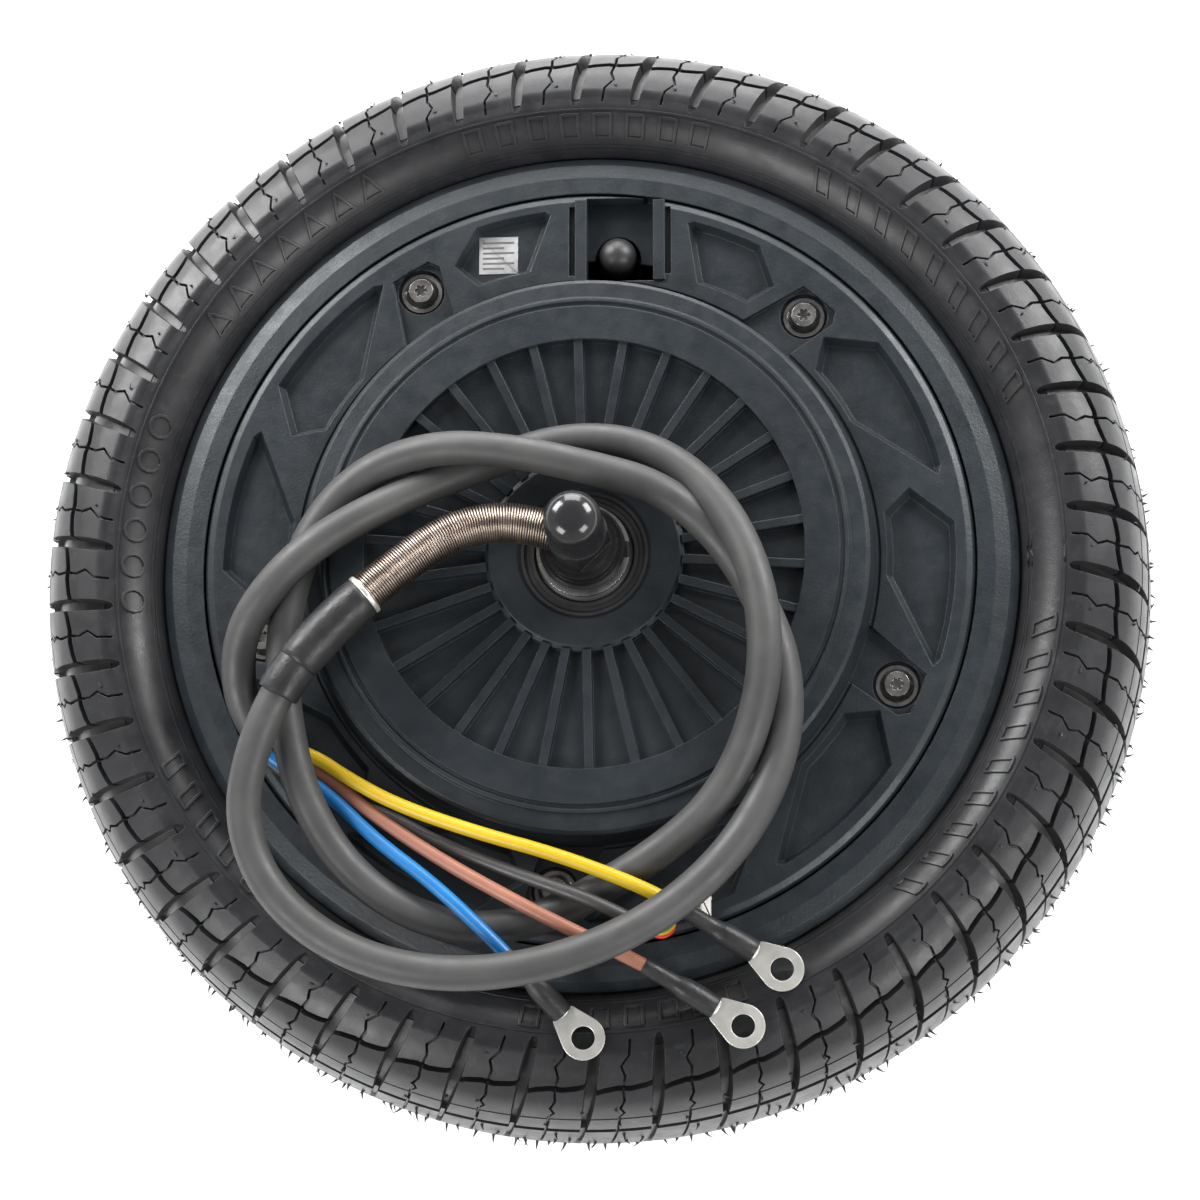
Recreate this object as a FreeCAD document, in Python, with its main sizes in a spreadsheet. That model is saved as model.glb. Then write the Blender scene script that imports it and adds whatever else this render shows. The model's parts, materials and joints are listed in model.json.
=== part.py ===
"""Hub motor wheel: a tyred scooter wheel with a brushless motor inside its hub.

Frame: origin at the wheel's centre, +Z along the axle towards the cable side, millimetres.
The axle, stator and cable stay still; the tyre, hub shell, cover and magnets turn about Z.
"""
import FreeCAD
import Part
import math
import os
import Sketcher

from FreeCAD import Placement, Rotation, Vector

Z_AXIS = Vector(0, 0, 1)
CENTRE = Vector(0, 0, 0)

SIZES = {
    # tyre and rim
    "tyre_radius": 133.35, "tyre_half_width": 35.0, "widest_radius": 116.0, "shoulder_radius": 126.5,
    "bead_seat_radius": 82.5, "flange_radius": 101.1, "flange_tip": 26.9, "band_top": 29.9, "well_radius": 79.6,
    "barrel_inner_radius": 75.5, "drum_outer_radius": 66.5, "drum_inner_radius": 63.0,
    # front cover
    "cover_radius": 90.7, "cover_seat": 26.0, "gasket_thickness": 0.4, "ring_top": 31.4, "pocket_depth": 3.0,
    "band_height": 40.0, "band_inner_radius": 51.4, "boss_radius": 23.4, "boss_top": 37.8, "fin_width": 2.1,
    "fin_count": 30, "fin_phase": 7.5, "screw_circle_radius": 78.4, "screw_phase": 48.7, "screw_count": 5,
    "screw_head_radius": 4.0, "screw_shank_radius": 2.5, "window_x": 8.0, "window_width": 16.0,
    # axle
    "axle_seat_radius": 11.0, "journal_radius": 10.0, "rear_journal_radius": 8.5, "rear_pin_radius": 7.5,
    "stub_radius": 7.0, "tip_radius": 6.0, "stub_end": 57.0, "tip_end": 68.0, "flat_distance": 10.0,
    "cap_radius": 6.9, "cap_end": 73.5, "exit_height": 51.5, "exit_radius": 4.65,
    # motor
    "stator_radius": 57.0, "stator_length": 35.0, "slot_count": 36, "magnet_count": 40, "magnet_radius": 57.6,
    "magnet_back_radius": 60.1, "magnet_length": 37.0, "carrier_radius": 40.0, "coil_end": 23.0,
    # bearings
    "front_bearing_radius": 21.0, "front_pitch_radius": 15.5, "front_ball_radius": 3.175,
    "rear_bearing_radius": 20.0, "rear_pitch_radius": 14.25, "rear_ball_radius": 3.37,
    "bearing_width": 12.0, "ball_clearance": 0.07, "ball_count": 9,
    # tyre valve
    "valve_x": 7.2, "valve_y": 75.9, "valve_hole_height": 3.0, "valve_stem_radius": 3.5, "valve_cap_radius": 4.6,
    # cable
    "cable_radius": 4.0, "wire_radius": 1.6, "spring_radius": 4.6, "shrink_large_radius": 5.15,
    "shrink_small_radius": 4.7, "boot_radius": 2.2, "lug_radius": 4.85, "lug_hole_radius": 2.65,
    "lug_thickness": 0.9, "thin_wire_radius": 0.45,
}

doc = FreeCAD.newDocument("hub_motor_wheel")
sheet = doc.addObject("Spreadsheet::Sheet", "Sizes")
for row, (alias, value) in enumerate(SIZES.items(), start=1):
    sheet.set("A%d" % row, alias)
    sheet.set("B%d" % row, str(value))
    sheet.setAlias("B%d" % row, alias)
doc.recompute()

kept = []


def size(alias):
    return float(sheet.get(alias))


def bound(text):
    """The expression with each alias in it pointed at the sheet."""
    words = sorted((alias for alias in SIZES if alias in text), key=len, reverse=True)
    for index, alias in enumerate(words):
        text = text.replace(alias, "@%d@" % index)
    for index, alias in enumerate(words):
        text = text.replace("@%d@" % index, "Sizes." + alias)
    return text


def keep(part, label):
    part.Label = label
    kept.append(part)
    return part


def polar(radius, degrees, height=0.0):
    angle = math.radians(degrees)
    return Vector(radius * math.cos(angle), radius * math.sin(angle), height)


# ---------------------------------------------------------------- building blocks

def add_sketch(body, name, plane, outline):
    """A closed outline whose corners are expressions of the sheet's sizes."""
    sketch = body.newObject("Sketcher::SketchObject", name)
    origin_plane = [item for item in body.Origin.OriginFeatures if item.Role == plane][0]
    sketch.AttachmentSupport = [(origin_plane, "")]
    sketch.MapMode = "FlatFace"
    probe = doc.addObject("Part::Vertex", "Probe")
    corners = []
    for across, up in outline:
        probe.setExpression("X", bound(across))
        probe.setExpression("Y", bound(up))
        probe.recompute()
        corners.append(Vector(float(probe.X), float(probe.Y), 0))
    doc.removeObject(probe.Name)
    for index, corner in enumerate(corners):
        sketch.addGeometry(Part.LineSegment(corner, corners[(index + 1) % len(corners)]), False)
    for index in range(len(corners)):
        sketch.addConstraint(Sketcher.Constraint("Coincident", index, 2, (index + 1) % len(corners), 1))
    for index, (across, up) in enumerate(outline):
        place = sketch.addConstraint(Sketcher.Constraint("DistanceX", -1, 1, index, 1, corners[index].x))
        sketch.setExpression("Constraints[%d]" % place, bound(across))
        place = sketch.addConstraint(Sketcher.Constraint("DistanceY", -1, 1, index, 1, corners[index].y))
        sketch.setExpression("Constraints[%d]" % place, bound(up))
    return sketch


def lathe(name, outline):
    """A body turned about Z from corners (radius, height)."""
    body = doc.addObject("PartDesign::Body", name)
    sketch = add_sketch(body, name + "_outline", "XZ_Plane", outline)
    turned = body.newObject("PartDesign::Revolution", name + "_turned")
    turned.Profile = sketch
    turned.ReferenceAxis = (sketch, ["V_Axis"])
    turned.Angle = 360
    body.Tip = turned
    doc.recompute()
    return body


def around(body, feature, count):
    """A polar pattern of one feature about Z, set as the body's tip."""
    pattern = body.newObject("PartDesign::PolarPattern", feature.Name + "_pattern")
    z_axis = [item for item in body.Origin.OriginFeatures if item.Role == "Z_Axis"][0]
    pattern.Originals = [feature]
    pattern.Axis = (z_axis, [""])
    pattern.Angle = 360
    pattern.setExpression("Occurrences", bound(count))
    body.Tip = pattern
    doc.recompute()
    return body


def cylinder(name, radius, length, base=("0", "0", "0")):
    part = doc.addObject("Part::Cylinder", name)
    part.setExpression("Radius", bound(radius))
    part.setExpression("Height", bound(length))
    for axis, text in zip("xyz", base):
        part.setExpression("Placement.Base." + axis, bound(text))
    return part


def box(name, low, sides):
    part = doc.addObject("Part::Box", name)
    for side, text in zip(("Length", "Width", "Height"), sides):
        part.setExpression(side, bound(text))
    for axis, text in zip("xyz", low):
        part.setExpression("Placement.Base." + axis, bound(text))
    return part


def cut(name, base, tool):
    part = doc.addObject("Part::Cut", name)
    part.Base = base
    part.Tool = tool
    doc.recompute()
    return part


def fuse(name, shapes):
    part = doc.addObject("Part::MultiFuse", name)
    part.Shapes = shapes
    doc.recompute()
    return part


def feature(name, shape):
    part = doc.addObject("Part::Feature", name)
    part.Shape = shape
    part.Placement = Placement()
    return part


def ring(name, inner, outer, low, length):
    """A plain ring between two radii, standing on height low."""
    return cut(name, cylinder(name + "_outside", outer, length, ("0", "0", low)),
               cylinder(name + "_bore", inner, length, ("0", "0", low)))


# ---------------------------------------------------------------- tyre and hub shell

def make_tyre():
    crown = size("tyre_radius")
    half = size("tyre_half_width")
    widest = size("widest_radius")
    shoulder = size("shoulder_radius")
    lip = Vector(101.4, 0, 25.6)
    side = Part.BSplineCurve()
    side.interpolate([lip, Vector(105.5, 0, 31.2), Vector(widest - 5, 0, half - 0.5), Vector(widest, 0, half),
                      Vector(121.5, 0, half - 1.8), Vector(shoulder, 0, 30.0)])
    tread = Part.BSplineCurve()
    tread.interpolate([Vector(shoulder, 0, 30.0), Vector(crown - 2.3, 0, 19.5), Vector(crown, 0, 0),
                       Vector(crown - 2.3, 0, -19.5), Vector(shoulder, 0, -30.0)])
    lining = Part.BSplineCurve()
    lining.interpolate([Vector(88.5, 0, 14.0), Vector(103.0, 0, 24.5), Vector(115.0, 0, 29.0),
                        Vector(122.0, 0, 19.0), Vector(crown - 9.0, 0, 0), Vector(122.0, 0, -19.0),
                        Vector(115.0, 0, -29.0), Vector(103.0, 0, -24.5), Vector(88.5, 0, -14.0)])
    bead = [lip, Vector(98.6, 0, 24.0), Vector(86.0, 0, 22.6), Vector(83.6, 0, 20.4), Vector(82.7, 0, 12.0),
            Vector(88.5, 0, 14.0)]
    low_bead = [Vector(corner.x, 0, -corner.z) for corner in bead]
    low_side = side.toShape().mirror(CENTRE, Z_AXIS)
    edges = [side.toShape(), tread.toShape(), low_side, lining.toShape()]
    edges += [Part.LineSegment(a, b).toShape() for a, b in zip(bead[:-1], bead[1:])]
    edges += [Part.LineSegment(a, b).toShape() for a, b in zip(low_bead[:-1], low_bead[1:])]
    wire = Part.Wire(Part.__sortEdges__(edges))
    keep(feature("Tyre", Part.Face(wire).revolve(CENTRE, Z_AXIS, 360)), "tyre")


SHELL_OUTLINE = [
    ("cover_radius + 0.6", "cover_seat - gasket_thickness"), ("cover_radius + 0.6", "band_top"),
    ("95.5", "band_top - 0.4"), ("99", "band_top - 1.4"), ("flange_radius", "flange_tip"),
    ("flange_radius", "flange_tip - 1.5"), ("98.6", "24"), ("86", "22.6"), ("83.6", "20.4"),
    ("bead_seat_radius", "11"), ("bead_seat_radius", "-4.5"), ("well_radius", "-5.5"), ("well_radius", "-10"),
    ("bead_seat_radius", "-11"), ("83.6", "-20.4"), ("86", "-22.6"), ("98.6", "-24"),
    ("flange_radius", "1.5 - flange_tip"), ("flange_radius", "-flange_tip"), ("99", "1.4 - band_top"),
    ("95.5", "0.4 - band_top"), ("90.5", "-band_top"), ("70", "-31"), ("66", "-36"), ("30", "-37.4"),
    ("24", "-38.4"), ("15", "-38.4"), ("15", "-33.5"), ("14", "-33.5"), ("14", "-31.5"),
    ("rear_bearing_radius", "-31.5"), ("rear_bearing_radius", "-19"), ("24.5", "-19"), ("26.5", "-31"),
    ("drum_inner_radius", "-31"), ("drum_inner_radius", "20.5"), ("drum_outer_radius", "20.5"),
    ("drum_outer_radius", "-25.5"), ("barrel_inner_radius", "-25.5"),
    ("barrel_inner_radius", "cover_seat - gasket_thickness"),
]


def screw_angles():
    count = int(size("screw_count"))
    return [size("screw_phase") + 360.0 / count * index for index in range(count)]


def upright(radius, low, high, place):
    """A cylinder standing along Z at a place."""
    return Part.makeCylinder(radius, high - low, Vector(place.x, place.y, low))


def make_hub_shell():
    turned = lathe("ShellTurned", SHELL_OUTLINE)
    seat = size("cover_seat") - size("gasket_thickness")
    circle = size("screw_circle_radius")
    webs = []
    for angle in screw_angles():
        rib = Part.makeBox(14.0, 3.0, 40.0, Vector(64.8, -1.5, -26.0))
        rib.rotate(CENTRE, Z_AXIS, angle)
        webs.append(rib.fuse(upright(4.6, -26.0, seat, polar(circle, angle))))
    body = fuse("ShellFused", [turned, feature("ShellBosses", Part.Compound(webs))])
    valve = Vector(size("valve_x"), size("valve_y"), 0)
    height = size("valve_hole_height")
    holes = [upright(size("screw_shank_radius"), 8.0, seat + 1, polar(circle, angle)) for angle in screw_angles()]
    holes.append(upright(4.2, height - 4.0, seat + 1, valve))
    holes.append(upright(5.5, 16.0, seat + 1, valve))
    outward = Vector(valve.x, valve.y, 0).normalize()
    holes.append(Part.makeCylinder(3.8, 12.0, Vector(valve.x, valve.y, height), outward))
    body = cut("HubShell", body, feature("ShellHoles", holes[0].fuse(holes[1:])))
    body.Refine = True
    keep(body, "hub_shell")


# ---------------------------------------------------------------- front cover

COVER_OUTLINE = [
    ("15", "boss_top - 0.7"), ("15.8", "boss_top"), ("boss_radius - 1.1", "boss_top"),
    ("boss_radius", "boss_top - 1"), ("boss_radius", "35.2"), ("band_inner_radius", "37"),
    ("band_inner_radius", "band_height"), ("59.6", "band_height"), ("59.9", "band_height - 0.7"),
    ("60.5", "band_height - 0.7"), ("60.8", "band_height - 0.2"), ("61.6", "band_height - 0.3"),
    ("62", "band_height - 0.9"), ("65.6", "band_height - 1.2"), ("66.5", "band_height - 1.9"),
    ("67.9", "ring_top + 1"), ("67.9", "ring_top - 0.5"), ("68.6", "ring_top - 0.5"), ("68.9", "ring_top"),
    ("88.8", "ring_top - 0.3"), ("90.2", "ring_top - 1"), ("cover_radius", "ring_top - 1.8"),
    ("cover_radius", "cover_seat"), ("64", "cover_seat"), ("61.8", "33.2"), ("25.6", "33.2"), ("24.8", "32.4"),
    ("24.8", "20.5"), ("front_bearing_radius", "20.5"), ("front_bearing_radius", "33"), ("14", "33"),
    ("14", "34.1"), ("15", "34.1"),
]

# Corners of a leaf-shaped pocket: radius, and angle from the screw that leads it.
LEAF_POCKET = [(70.2, -9.0), (77.5, -5.0), (86.8, -12.0), (86.3, -34.5), (84.8, -36.2), (70.0, -21.5)]
LEAF_PITCH = 31.5
# Corners of the pocket beside the valve window, from the window's middle.
WINDOW_POCKET = [(80.0, 29.2), (87.5, 23.2), (87.4, 11.8), (86.2, 10.8), (72.2, 16.0), (72.6, 26.4)]
# Corners of the open recess around a screw.
SCREW_RECESS = [(67.2, 9.2), (83.9, 3.2), (83.9, -3.6), (81.5, -4.8), (67.2, -3.0)]
SAME_RADIUS = 0.6
WALL_SLOPE = 1.6
# The screw after the valve window leads no leaf pockets: the window takes their place.
VALVE_SCREW = 1


def pocket_wire(corners, height):
    """A closed outline from polar corners; two corners on one radius are joined by an arc."""
    edges = []
    for (radius, angle), (next_radius, next_angle) in zip(corners, corners[1:] + corners[:1]):
        start = polar(radius, angle, height)
        stop = polar(next_radius, next_angle, height)
        if abs(radius - next_radius) < SAME_RADIUS and abs(angle - next_angle) > 5:
            middle = polar((radius + next_radius) / 2, (angle + next_angle) / 2, height)
            edges.append(Part.Arc(start, middle, stop).toShape())
        else:
            edges.append(Part.LineSegment(start, stop).toShape())
    return Part.Wire(edges)


def sloped_pocket(corners, turn, slope):
    """The solid that leaves a pocket with a flat floor and sloped walls."""
    top = size("ring_top") + 0.6
    floor = size("ring_top") - size("pocket_depth")
    turned = [(radius, angle + turn) for radius, angle in corners]
    mouth = pocket_wire(turned, top)
    base = pocket_wire(turned, top).makeOffset2D(-slope, 2, False, False)
    base.translate(Vector(0, 0, floor - top))
    return Part.makeLoft([mouth, base], True, True)


def cover_hollows():
    circle = size("screw_circle_radius")
    valve_angle = size("screw_phase") + 180.0 / size("screw_count")
    mirrored = [(radius, -angle) for radius, angle in reversed(WINDOW_POCKET)]
    hollows = [sloped_pocket(corners, valve_angle, WALL_SLOPE) for corners in (WINDOW_POCKET, mirrored)]
    for index, angle in enumerate(screw_angles()):
        place = polar(circle, angle)
        turned = [(radius, bearing + angle) for radius, bearing in SCREW_RECESS]
        recess = Part.Face(pocket_wire(turned, size("ring_top") - 1.8)).extrude(Vector(0, 0, 8))
        hollows.append(recess.cut(Part.makeCylinder(67.9, 20, Vector(0, 0, 25))))
        hollows.append(upright(5.6, size("ring_top") - 3.4, size("ring_top") + 1, place))
        hollows.append(upright(size("screw_shank_radius") + 0.25, size("cover_seat") - 1, 31, place))
        if index != VALVE_SCREW:
            hollows.append(sloped_pocket(LEAF_POCKET, angle, WALL_SLOPE))
            hollows.append(sloped_pocket(LEAF_POCKET, angle - LEAF_PITCH, WALL_SLOPE))
    return feature("CoverHollows", hollows[0].fuse(hollows[1:]))


def make_front_cover():
    body = lathe("CoverTurned", COVER_OUTLINE)
    fin_outline = [("boss_radius - 0.4", "34.6"), ("band_inner_radius + 0.4", "36.4"),
                   ("band_inner_radius + 0.4", "band_height - 0.5"), ("boss_radius - 0.4", "boss_top")]
    sketch = add_sketch(body, "fin_outline", "XZ_Plane", fin_outline)
    sketch.AttachmentOffset = Placement(CENTRE, Rotation(Vector(0, 1, 0), size("fin_phase")))
    fin = body.newObject("PartDesign::Pad", "Fin")
    fin.Profile = sketch
    fin.Midplane = True
    fin.setExpression("Length", bound("fin_width"))
    doc.recompute()
    around(body, fin, "fin_count")
    lips = [box("LipLeft", ("window_x - window_width / 2 - 2.8", "68.4", "28"), ("2.8", "20.6", "ring_top - 27.5")),
            box("LipRight", ("window_x + window_width / 2", "68.4", "28"), ("2.8", "20.2", "ring_top - 27.5"))]
    raised = fuse("CoverRaised", [body] + lips)
    window = box("Window", ("window_x - window_width / 2", "68.4", "20"), ("window_width", "21.2", "20"))
    slots = [box("SlotLeft", ("window_x - window_width / 2 - 4.2", "70", "ring_top - 1.6"), ("1.4", "17.5", "4")),
             box("SlotRight", ("window_x + window_width / 2 + 2.8", "70", "ring_top - 1.6"), ("1.4", "17", "4"))]
    cover = cut("FrontCover", raised, fuse("CoverTools", [cover_hollows(), window] + slots))
    keep(cover, "front_cover")


def make_gasket():
    plain = ring("GasketPlain", "76.2", "cover_radius - 0.7", "cover_seat - gasket_thickness", "gasket_thickness")
    circle = size("screw_circle_radius")
    holes = [upright(size("screw_shank_radius") + 0.3, 20, 30, polar(circle, angle)) for angle in screw_angles()]
    holes.append(Part.makeBox(17.6, 24.0, 10.0, Vector(-0.8, 66.0, 20.0)))
    keep(cut("Gasket", plain, feature("GasketHoles", Part.Compound(holes))), "cover_gasket")


def make_cover_screws():
    head = size("screw_head_radius")
    under = size("ring_top") - 3.4
    screws = []
    for angle in screw_angles():
        place = polar(size("screw_circle_radius"), angle)
        washer = upright(head + 0.9, under, under + 0.7, place)
        button = Part.makeCone(head, head * 0.72, 2.3, Vector(place.x, place.y, under + 0.7))
        shank = upright(size("screw_shank_radius"), 9.0, under + 0.1, place)
        socket = Part.makeCylinder(1.0, 1.6, Vector(place.x, place.y, under + 1.6))
        lobes = [Part.makeCylinder(0.45, 1.6, Vector(place.x, place.y, under + 1.6) + polar(1.15, 60 * lobe))
                 for lobe in range(6)]
        screws.append(washer.fuse([button, shank]).cut(socket.fuse(lobes)))
    keep(feature("CoverScrews", Part.Compound(screws)), "cover_screws")


# ---------------------------------------------------------------- axle and its fittings

AXLE_OUTLINE = [
    ("0", "-tip_end"), ("tip_radius - 0.8", "-tip_end"), ("tip_radius", "0.8 - tip_end"), ("tip_radius", "-stub_end"),
    ("stub_radius", "-stub_end"), ("stub_radius", "-49.5"), ("rear_pin_radius", "-49.5"), ("rear_pin_radius", "-43"),
    ("rear_journal_radius", "-43"),
    ("rear_journal_radius", "-19.5"), ("axle_seat_radius", "-19.5"), ("axle_seat_radius", "15.5"),
    ("journal_radius", "15.5"), ("journal_radius", "39"), ("journal_radius - 0.9", "39"),
    ("journal_radius - 0.9", "40.2"), ("journal_radius", "40.2"), ("journal_radius", "42.6"),
    ("journal_radius - 0.6", "43.2"), ("rear_journal_radius", "43.2"), ("rear_journal_radius", "46.4"),
    ("stub_radius", "46.4"), ("stub_radius", "stub_end"), ("tip_radius", "stub_end"),
    ("tip_radius", "tip_end - 0.8"), ("tip_radius - 0.8", "tip_end"), ("0", "tip_end"),
]
EXIT_BEARING = 163.0
FLAT_BEARING = 135.0


def flat_cuts(low, high):
    """Two slabs that leave the flats of a stub between two heights."""
    slabs = []
    for side in (0, 180):
        slab = Part.makeBox(6.0, 20.0, high - low, Vector(size("flat_distance") / 2, -10.0, low))
        slab.rotate(CENTRE, Z_AXIS, FLAT_BEARING + side)
        slabs.append(slab)
    return slabs


def make_axle():
    turned = lathe("AxleTurned", AXLE_OUTLINE)
    height = size("exit_height")
    outward = polar(1.0, EXIT_BEARING)
    passage = [upright(3.3, 17.8, height, CENTRE)]
    passage.append(Part.makeCylinder(size("exit_radius"), 12.0, Vector(0, 0, height) + outward * 2.6, outward))
    passage.append(Part.makeCylinder(size("cable_radius"), 3.0, Vector(0, 0, height), outward))
    passage.append(Part.makeCylinder(2.6, 14.0, Vector(0, 0, 18.2), polar(1.0, 60.0)))
    flats = flat_cuts(47.6, size("tip_end") + 1) + flat_cuts(-size("stub_end") - 12, -49.5)
    keep(cut("Axle", turned, feature("AxleTools", Part.Compound(passage + flats))), "axle")


def make_axle_caps():
    front = [("0", "cap_end"), ("3.4", "cap_end - 0.7"), ("5.6", "cap_end - 2.4"), ("cap_radius", "cap_end - 5"),
             ("cap_radius", "stub_end + 0.4"), ("tip_radius + 0.05", "stub_end + 0.4"),
             ("tip_radius + 0.05", "tip_end + 0.4"), ("0", "tip_end + 0.4")]
    keep(lathe("FrontCap", front), "front_axle_cap")
    rear = [(radius, "-(" + height + ")") for radius, height in front]
    keep(lathe("RearCap", rear), "rear_axle_cap")


def make_snap_ring():
    closed = ring("SnapRingClosed", "journal_radius - 0.85", "journal_radius + 0.9", "39.1", "1")
    gap = box("SnapRingGap", ("5", "-2", "38"), ("10", "4", "4"))
    keep(cut("SnapRing", closed, gap), "axle_snap_ring")


def make_bearing(end, bore, outer, pitch, ball, low):
    """Two races and their balls; the races' grooves clear the balls by a running clearance."""
    groove = "%s + ball_clearance" % ball
    for race, inside, outside in (("outer", pitch + " + 2", outer), ("inner", bore, pitch + " - 2")):
        name = end.capitalize() + race.capitalize() + "Race"
        torus = doc.addObject("Part::Torus", name + "_groove")
        torus.setExpression("Radius1", bound(pitch))
        torus.setExpression("Radius2", bound(groove))
        torus.setExpression("Placement.Base.z", bound("%s + bearing_width / 2" % low))
        plain = ring(name + "_plain", inside, outside, low, "bearing_width")
        keep(cut(name, plain, torus), "%s_bearing_%s_race" % (end, race))
    middle = float(low) + size("bearing_width") / 2
    count = int(size("ball_count"))
    balls = [Part.makeSphere(size(ball), polar(size(pitch), 360.0 / count * index, middle)) for index in range(count)]
    keep(feature(end.capitalize() + "Balls", Part.Compound(balls)), end + "_bearing_balls")


def make_seals():
    front = [("journal_radius + 0.06", "34.3"), ("15", "34.3"), ("15", "37"), ("14.2", "37"), ("13.8", "36.2"),
             ("13", "36.2"), ("12.6", "37"), ("11.8", "37"), ("11.4", "36.2"), ("journal_radius + 0.06", "36.8")]
    keep(lathe("FrontSeal", front), "front_seal")
    rear = [("rear_journal_radius + 0.06", "-34.1"), ("15", "-34.1"), ("15", "-38"), ("13.4", "-38"),
            ("13", "-36.9"), ("rear_journal_radius + 0.06", "-37.6")]
    keep(lathe("RearSeal", rear), "rear_seal")


# ---------------------------------------------------------------- motor

def tooth_slot(body, name, length):
    """One slot between two teeth, cut through and repeated around the stack."""
    outline = [("41.5", "-1.6"), ("54.5", "-2.7"), ("54.5", "-1"), ("58", "-1"), ("58", "1"), ("54.5", "1"),
               ("54.5", "2.7"), ("41.5", "1.6")]
    sketch = add_sketch(body, name + "_slot", "XY_Plane", outline)
    slot = body.newObject("PartDesign::Pocket", name + "_slot_cut")
    slot.Profile = sketch
    slot.Type = 1
    slot.Midplane = True
    slot.setExpression("Length", bound(length))
    doc.recompute()
    around(body, slot, "slot_count")


def toothed_ring(name, label, low, high):
    body = lathe(name, [("carrier_radius", low), ("stator_radius", low), ("stator_radius", high),
                        ("carrier_radius", high)])
    before = body.Shape.Volume
    tooth_slot(body, name, "200")
    if body.Shape.Volume > before * 0.8:
        raise RuntimeError("the slots of %s cut nothing" % label)
    keep(body, label)


def make_stator():
    toothed_ring("StatorCore", "stator_core", "-stator_length / 2", "stator_length / 2")
    toothed_ring("UpperInsulator", "upper_insulator", "stator_length / 2", "stator_length / 2 + 1")
    toothed_ring("LowerInsulator", "lower_insulator", "-stator_length / 2 - 1", "-stator_length / 2")
    web = [("axle_seat_radius", "-15.5"), ("15.5", "-15.5"), ("15.5", "-4"), ("36.5", "-4"), ("36.5", "-16"),
           ("carrier_radius", "-16"), ("carrier_radius", "16"), ("36.5", "16"), ("36.5", "4"), ("15.5", "4"),
           ("15.5", "15.5"), ("axle_seat_radius", "15.5")]
    carrier = lathe("CarrierTurned", web)
    windows = [upright(7.0, -5, 5, polar(26.0, 72 * index)) for index in range(5)]
    keep(cut("StatorCarrier", carrier, feature("CarrierWindows", Part.Compound(windows))), "stator_carrier")


def make_windings():
    end = size("coil_end")
    inside = size("stator_length") / 2 + 1.05
    outer = Part.makeBox(11.7, 7.0, 2 * end, Vector(42.3, -3.5, -end))
    coil = outer.cut(Part.makeBox(20.0, 4.3, 2 * inside, Vector(40.0, -2.15, -inside)))
    coils = []
    count = int(size("slot_count"))
    for index in range(count):
        turned = coil.copy()
        turned.rotate(CENTRE, Z_AXIS, 360.0 / count * (index + 0.5))
        coils.append(turned)
    keep(feature("Windings", Part.Compound(coils)), "windings")


def make_hall_sensors():
    end = size("coil_end")
    outline = Part.makeCylinder(56.4, 1.2, Vector(0, 0, end), Z_AXIS, 60)
    board = outline.cut(Part.makeCylinder(46.0, 1.2, Vector(0, 0, end)))
    board.rotate(CENTRE, Z_AXIS, 170.0)
    keep(feature("HallBoard", board), "hall_sensor_board")
    sensors = []
    for bearing in (180.0, 200.0, 220.0):
        sensor = Part.makeBox(1.5, 1.6, 8.0, Vector(54.8, -0.8, end - 8.0))
        sensor.rotate(CENTRE, Z_AXIS, bearing)
        sensors.append(sensor)
    keep(feature("HallSensors", Part.Compound(sensors)), "hall_sensors")


def make_rotor():
    keep(ring("RotorRing", "magnet_back_radius", "drum_inner_radius", "-20", "40"), "rotor_ring")
    half = size("magnet_length") / 2
    low = Vector(0, 0, -half)
    magnets = []
    count = int(size("magnet_count"))
    block = Part.makeCylinder(size("magnet_back_radius"), 2 * half, low, Z_AXIS, 8.2)
    block = block.cut(Part.makeCylinder(size("magnet_radius"), 2 * half, low))
    for index in range(count):
        magnet = block.copy()
        magnet.rotate(CENTRE, Z_AXIS, 360.0 / count * index)
        magnets.append(magnet)
    keep(feature("Magnets", Part.Compound(magnets)), "magnets")


# ---------------------------------------------------------------- tyre valve

def make_valve():
    place = Vector(size("valve_x"), size("valve_y"), 0)
    outward = Vector(place.x, place.y, 0).normalize()
    height = size("valve_hole_height")
    elbow = Vector(place.x, place.y, height)
    seat = size("bead_seat_radius")
    radius = size("valve_stem_radius")
    reach = seat - place.Length
    neck = Part.makeCylinder(3.8, reach + 0.5, elbow, outward)
    flange = Part.makeCylinder(6.0, 1.8, elbow + outward * (reach + 0.12), outward)
    stem = upright(radius, height, 19.2, place)
    rubber = neck.fuse([flange, stem, Part.makeSphere(3.8, elbow)])
    tube_bore = upright(2.6, 6.0, 40.0, place)
    keep(feature("ValveBody", rubber.cut(tube_bore)), "valve_body")
    tube = upright(2.6, 6.0, 22.7, place).cut(upright(1.7, 7.5, 24.0, place))
    keep(feature("ValveTube", tube), "valve_tube")
    pin = upright(0.7, 12.0, 23.0, place)
    keep(feature("ValvePin", pin), "valve_core_pin")
    dome = Part.makeSphere(size("valve_cap_radius"), Vector(place.x, place.y, 26.9))
    cap = upright(size("valve_cap_radius"), 19.6, 26.9, place).fuse(dome)
    keep(feature("ValveCap", cap.cut(upright(2.66, 10.0, 24.4, place))), "valve_cap")


# ---------------------------------------------------------------- cables

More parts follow.
